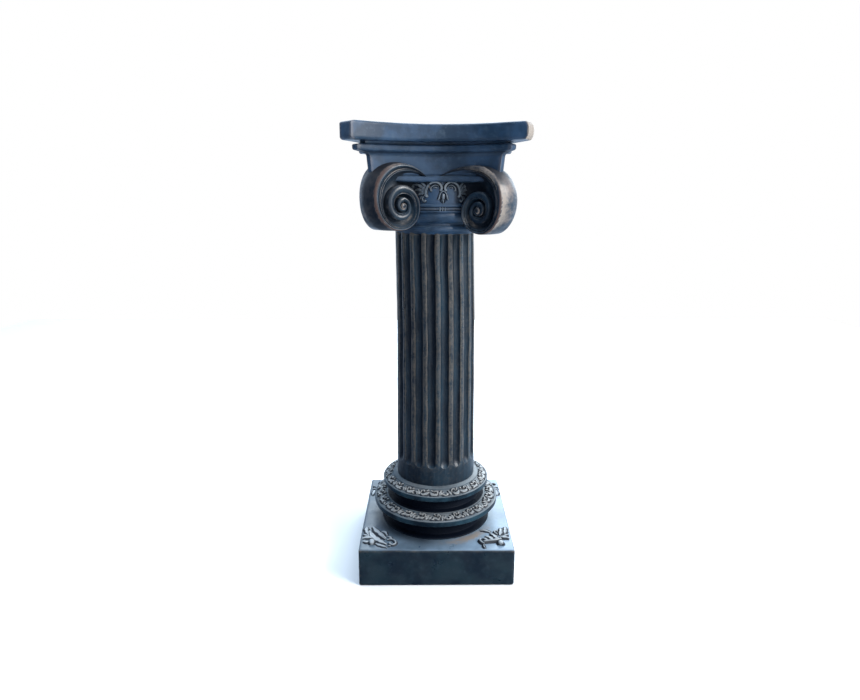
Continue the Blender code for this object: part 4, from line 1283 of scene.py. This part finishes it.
def grain_group():
    """Fine unevenness of cast and painted resin: a height for bump and a spread of roughness."""
    group, given, end = new_group("cast grain", {"Scale": 300.0, "Roughness": 0.4, "Spread": 0.15},
                                  {"Height": VALUE_SOCKET, "Roughness": VALUE_SOCKET})
    fine = noise(group, given["Scale"], 6.0, 0.65)
    coarse = noise(group, times(group, given["Scale"], 0.12), 4.0, 0.6)
    feed(group, end["Height"], plus(group, times(group, fine, 0.4), coarse))
    spread = times(group, mapped(group, coarse, 0.3, 0.7, -1.0, 1.0), given["Spread"])
    feed(group, end["Roughness"], plus(group, given["Roughness"], spread))
    return group


def dust_and_sheen_group():
    """Pale bloom that settles on what faces up, with a painted sheen of light on it: the upward share,
    sharpened, broken up by noise, and less of it towards the left, away from the light."""
    group, given, end = new_group("settled bloom and painted sheen", {"Scale": 14.0, "Amount": 0.5, "Left Share": 0.25},
                                  {"Mask": VALUE_SOCKET})
    up = mapped(group, attribute(group, "upward"), 0.55, 1.0)
    place = add_node(group, "ShaderNodeSeparateXYZ", {0: object_place(group)})
    side = mapped(group, place.outputs["X"], -DUST_AND_SHEEN_SIDE, DUST_AND_SHEEN_SIDE, given["Left Share"], 1.0)
    broken = mapped(group, noise(group, given["Scale"], 5.0), 0.3, 0.7, 0.5, 1.0)
    feed(group, end["Mask"], times(group, up, side, broken, given["Amount"]))
    return group


# Colours of the finish, from the grime and painted shade and the darkest greens to the bare resin, which also
# stands for painted warm light, the dust, which also carries painted sheen, and the sand
# Grime, which also paints the shade in hollows, at the feet of reliefs and on sides turned from the light
GRIME_AND_SHADE = (0.0006, 0.0028, 0.0080, 1)
DARK = (0.0025, 0.008, 0.015, 1)
TEAL = (0.009, 0.021, 0.028, 1)
RING_TEAL = (0.014, 0.037, 0.053, 1)
DEEP_BLUE = (0.008, 0.024, 0.048, 1)
BLUE_GREY = (0.022, 0.052, 0.099, 1)
SCROLL_TEAL = (0.009, 0.021, 0.034, 1)
BLOOM = (0.055, 0.085, 0.115, 1)
COPPER = (0.105, 0.070, 0.045, 1)
WORN_GREY = (0.15, 0.165, 0.175, 1)
WORN_SAND = (0.33, 0.31, 0.285, 1)
PALE_COPPER = (0.20, 0.155, 0.125, 1)
OLIVE_BROWN = (0.095, 0.078, 0.060, 1)
FLUTE_BLUE = (0.008, 0.026, 0.042, 1)
BROWN_GLAZE = (0.072, 0.042, 0.033, 1)
# Bare resin, which also stands for painted warm light and highlights
BARE_RESIN_AND_LIGHT = (0.24, 0.20, 0.165, 1)
# Dust colours, which also carry the painted sheen of the sky and the light
BLUE_DUST_AND_SHEEN = (0.26, 0.35, 0.44, 1)
WARM_DUST_AND_SHEEN = (0.225, 0.24, 0.245, 1)
PALE_SHADE = (0.16, 0.175, 0.18, 1)
SAND_SHADE = (0.06, 0.065, 0.065, 1)
SAND = (0.18, 0.18, 0.17, 1)
PALE_DUST = (0.31, 0.335, 0.35, 1)
WHITE = (1, 1, 1, 1)

# Grain: how many to the metre, and the spread of its roughness; flecks of bare places to the metre; and how
# strongly and over which distance in metres the grain stands out
GRAIN_SCALE = 260.0
GRAIN_SPREAD = 0.1
FLECK_SCALE = 170.0
BUMP_STRENGTH = 0.10
BUMP_DISTANCE = 0.002

# Surroundings: their dim colour, and brighter patches, each with the way to it, the cosines between that
# way and a ray where it starts and where it is full, and its colour
SKY_DIM = (0.045, 0.10, 0.21, 1)
SKY_PATCHES = (
    ((0.30, 0.75, 0.59), -0.5, 0.9, (1.00, 1.27, 1.65, 1)),
    ((0.82, -0.42, -0.38), 0.6, 0.96, (0.55, 0.85, 1.15, 1)),
    ((0.20, -0.97, 0.11), 0.93, 0.995, (2.1, 2.25, 2.4, 1)),
)

# Soft lights: name, place and aim in metres, width and height, power and colour
LIGHTS = (
    ("bright sky behind", (0.9, 2.8, 1.7), (0, 0, 0.2), (3.0, 2.2), 110, (0.80, 0.93, 1.0)),
    ("main light right", (2.1, -1.2, 1.75), (0, 0, 0.5), (1.4, 1.4), 105, (1.0, 0.98, 0.96)),
    ("sky above", (0.0, 0.0, 3.0), (0, 0, 0), (3.0, 3.0), 30, (0.70, 0.88, 1.0)),
)

# Floor: its half width in metres, its colour and its roughness
FLOOR_REACH = 2.3
FLOOR_COLOUR = (0.92, 0.89, 0.86, 1)
FLOOR_ROUGHNESS = 0.8

MOTTLE = mottle_group()
DUST_AND_SHEEN = dust_and_sheen_group()
WEAR = wear_group()
GRAIN = grain_group()


def place_group(tree, group, **values):
    """A group in a material, with its own values; an underscore stands for a space."""
    inputs = {name.replace("_", " "): value for name, value in values.items()}
    return add_node(tree, "ShaderNodeGroup", inputs, node_tree=group).outputs


def patina(name, deep, body, bloom, worn, wear, dirt_and_shade=0.7, roughness=0.36, scale=22.0, bloom_amount=0.4,
           worn_amount=0.5, dust_and_sheen_amount=0.5, stretch=1.0, dust_and_sheen_colour=BLUE_DUST_AND_SHEEN, dust_and_sheen_left=0.25, ior=1.5):
    """Bronze-look finish: a mottled dark body, darkened with grime and painted shade where the surface is
    sunk or marked, and coppery where it is raised and rubbed, with the grain of the casting, and dust with a
    painted sheen on what faces up. Where the bareness is above zero the resin itself shows, patchily, and so
    do painted warm light and highlights, and where it is below, a brown glaze does. The scale counts the
    clouds of the body to the metre, and the amounts say how much of each effect shows."""
    material = bpy.data.materials.new(name)
    material.use_nodes = True
    tree = material.node_tree
    shader = tree.nodes["Principled BSDF"].inputs
    mottle = place_group(tree, MOTTLE, Deep=deep, Body=body, Bloom=bloom, Scale=scale,
                         Bloom_Amount=bloom_amount, Stretch=stretch)
    rubbed = place_group(tree, WEAR, Scale=scale * 4, From=wear[0], To=wear[1])
    dust_and_sheen = place_group(tree, DUST_AND_SHEEN, Scale=scale * 0.7, Amount=dust_and_sheen_amount, Left_Share=dust_and_sheen_left)
    grain = place_group(tree, GRAIN, Scale=GRAIN_SCALE, Roughness=roughness, Spread=GRAIN_SPREAD)
    # Grime and painted shade where the surface is sunk or marked
    sunk = mapped(tree, attribute(tree, "sunk"), 0.1, 0.9)
    shade = times(tree, math_node(tree, "MAXIMUM", sunk, attribute(tree, "shade_and_grime")), dirt_and_shade)
    open_air = minus(tree, 1.0, shade)
    rub = times(tree, rubbed["Mask"], worn_amount, open_air)
    # Dust with a painted sheen on what faces up, brighter towards the right
    settled_and_sheen = times(tree, dust_and_sheen["Mask"], open_air)
    clean = mixed(tree, rub, mixed(tree, shade, mottle["Color"], GRIME_AND_SHADE), worn)
    with_dust_and_sheen = mixed(tree, settled_and_sheen, clean, dust_and_sheen_colour)
    # Bare resin, and painted warm light and highlights, where this mark is above zero
    bare_and_lit = attribute(tree, "bare_and_lit")
    glazed = mixed(tree, mapped(tree, times(tree, bare_and_lit, -1.0), 0.0, 0.9), with_dust_and_sheen, BROWN_GLAZE)
    patchy = minus(tree, noise(tree, FLECK_SCALE, 5.0), 0.5)
    broken = times(tree, bare_and_lit, minus(tree, 1.0, bare_and_lit), 6.0, patchy)
    shown = mapped(tree, plus(tree, bare_and_lit, broken), 0.0, 1.0)
    dull = times(tree, math_node(tree, "MAXIMUM", shown, shade), 0.3)
    bumps = add_node(tree, "ShaderNodeBump", {"Strength": BUMP_STRENGTH, "Distance": BUMP_DISTANCE,
                                              "Height": grain["Height"]})
    feed(tree, shader["Base Color"], mixed(tree, shown, glazed, BARE_RESIN_AND_LIGHT))
    feed(tree, shader["Roughness"], plus(tree, grain["Roughness"], dull))
    feed(tree, shader["Normal"], bumps.outputs["Normal"])
    feed(tree, shader["IOR"], ior)
    return material


def camera():
    """Camera that stands in front, a little above, and looks down at the column."""
    data = bpy.data.cameras.new("camera")
    data.lens = CAMERA_LENS
    data.sensor_width = CAMERA_SENSOR
    item = new_object("camera", data)
    item.location = CAMERA_PLACE
    item.rotation_euler = (math.radians(90 - CAMERA_DOWN), 0, math.radians(CAMERA_TURN))
    bpy.context.scene.camera = item


def area_light(name, place, aim, size, power, colour):
    """Soft rectangular light turned to its aim."""
    data = bpy.data.lights.new(name, "AREA")
    data.shape = "RECTANGLE"
    data.size, data.size_y = size
    data.energy = power
    data.color = colour
    way = np.array(aim, float) - np.array(place, float)
    across = math.hypot(way[0], way[1])
    item = new_object(name, data)
    item.location = place
    item.rotation_euler = (math.atan2(across, -way[2]), 0, math.atan2(way[1], way[0]) - QUARTER)
    item.visible_camera = False


def floor():
    """Pale floor around the column, left out of reflections."""
    material = bpy.data.materials.new("pale floor")
    material.use_nodes = True
    shader = material.node_tree.nodes["Principled BSDF"].inputs
    shader["Base Color"].default_value = FLOOR_COLOUR
    shader["Roughness"].default_value = FLOOR_ROUGHNESS
    mesh = bpy.data.meshes.new("floor")
    ways = ((-1, -1), (1, -1), (1, 1), (-1, 1))
    mesh.from_pydata([(x * FLOOR_REACH, y * FLOOR_REACH, 0) for x, y in ways], [], [(0, 1, 2, 3)])
    mesh.materials.append(material)
    item = new_object("floor", mesh)
    item.visible_glossy = False


def world():
    """Soft surroundings: bright behind, dim in front, with two bright patches, low to the right and straight
    in front. The camera sees plain white."""
    setting = bpy.data.worlds.new("studio")
    setting.use_nodes = True
    tree = setting.node_tree
    direction = add_node(tree, "ShaderNodeTexCoord").outputs["Generated"]
    sky = SKY_DIM
    for way, start, full, colour in SKY_PATCHES:
        toward = add_node(tree, "ShaderNodeVectorMath", {0: direction, 1: way}, operation="DOT_PRODUCT")
        sky = mixed(tree, mapped(tree, toward.outputs["Value"], start, full), sky, colour)
    around = tree.nodes["Background"]
    feed(tree, around.inputs["Color"], sky)
    white = add_node(tree, "ShaderNodeBackground", {"Color": WHITE})
    ray = add_node(tree, "ShaderNodeLightPath").outputs["Is Camera Ray"]
    chosen = add_node(tree, "ShaderNodeMixShader", {0: ray, 1: around.outputs[0], 2: white.outputs[0]})
    feed(tree, tree.nodes["World Output"].inputs["Surface"], chosen.outputs[0])
    bpy.context.scene.world = setting


def slab_patina():
    """Plinth: dark green, copper where rubbed, dusty on top with a painted sheen, brighter to the right."""
    return patina("slab patina", DARK, TEAL, BLOOM, COPPER, wear=(0.3, 1.1), bloom_amount=0.12,
                  dust_and_sheen_amount=0.9, dust_and_sheen_left=0.3)


def fluted_patina():
    """Shaft: upright streaks of blue green, worn to olive brown between the flutes."""
    return patina("fluted patina", DARK, FLUTE_BLUE, BLOOM, OLIVE_BROWN, wear=(-0.05, 0.75),
                  bloom_amount=0.2, worn_amount=0.75, stretch=0.12, scale=45.0, ior=1.42)


def ring_patina():
    """Base rings: dull blue green with warm dust and painted sheen, and painted shade in the hollows."""
    return patina("ring patina", DARK, RING_TEAL, BLOOM, COPPER, wear=(0.3, 1.2), bloom_amount=0.12,
                  dirt_and_shade=1.0, worn_amount=0.25, dust_and_sheen_amount=0.85, dust_and_sheen_colour=WARM_DUST_AND_SHEEN, dust_and_sheen_left=0.5,
                  ior=1.22)


def capital_patina():
    """Core, block and abacus: clouded blue grey."""
    return patina("blue grey patina", DEEP_BLUE, BLUE_GREY, BLOOM, PALE_COPPER, wear=(0.3, 1.2),
                  roughness=0.42, worn_amount=0.28)


def scroll_patina():
    """Volutes: dark, rubbed to pale copper along their ridges."""
    return patina("rubbed scroll patina", DARK, SCROLL_TEAL, BLOOM, PALE_COPPER, wear=(0.25, 1.0),
                  bloom_amount=0.15, worn_amount=0.8, dirt_and_shade=0.95)


def carving_patina():
    """Scroll panels: blue grey, rubbed to grey, with the ground around the carving painted dark with shade
    and grime.
    """
    return patina("carved relief patina", DARK, BLUE_GREY, BLOOM, WORN_GREY, wear=(0.05, 0.9),
                  bloom_amount=0.3, worn_amount=0.7, dirt_and_shade=1.0)


def leafage_patina():
    """Leaf bands: sandy, with painted shade and grime between the leaves."""
    return patina("leaf band patina", SAND_SHADE, SAND, COPPER, WORN_SAND, wear=(0.05, 0.8),
                  bloom_amount=0.6, worn_amount=0.6, dirt_and_shade=1.0, dust_and_sheen_amount=0.6, dust_and_sheen_colour=WARM_DUST_AND_SHEEN,
                  dust_and_sheen_left=0.8, scale=60.0)


def spray_patina():
    """Corner sprays: pale with dust and painted sheen, with painted shade at their feet."""
    return patina("spray patina", PALE_SHADE, PALE_DUST, PALE_DUST, WORN_GREY, wear=(0.0, 0.7),
                  worn_amount=0.3, dirt_and_shade=1.0, dust_and_sheen_amount=1.0, dust_and_sheen_colour=PALE_DUST, dust_and_sheen_left=1.0)


def build():
    """Every piece of the column, from the plinth up."""
    capital = capital_patina()
    scrolls = scroll_patina()
    plinth(slab_patina())
    corner_sprays(spray_patina())
    base_rings(ring_patina())
    leaf_bands(leafage_patina())
    shaft(fluted_patina())
    capital_core(capital)
    scroll_panels(carving_patina())
    capital_block(capital)
    abacus(capital)
    for name, (corner, style, rubbed) in VOLUTES.items():
        volute(name, corner, style, rubbed, scrolls)


camera()
build()
floor()
world()
for light in LIGHTS:
    area_light(*light)
bpy.context.scene.view_settings.view_transform = "Standard"
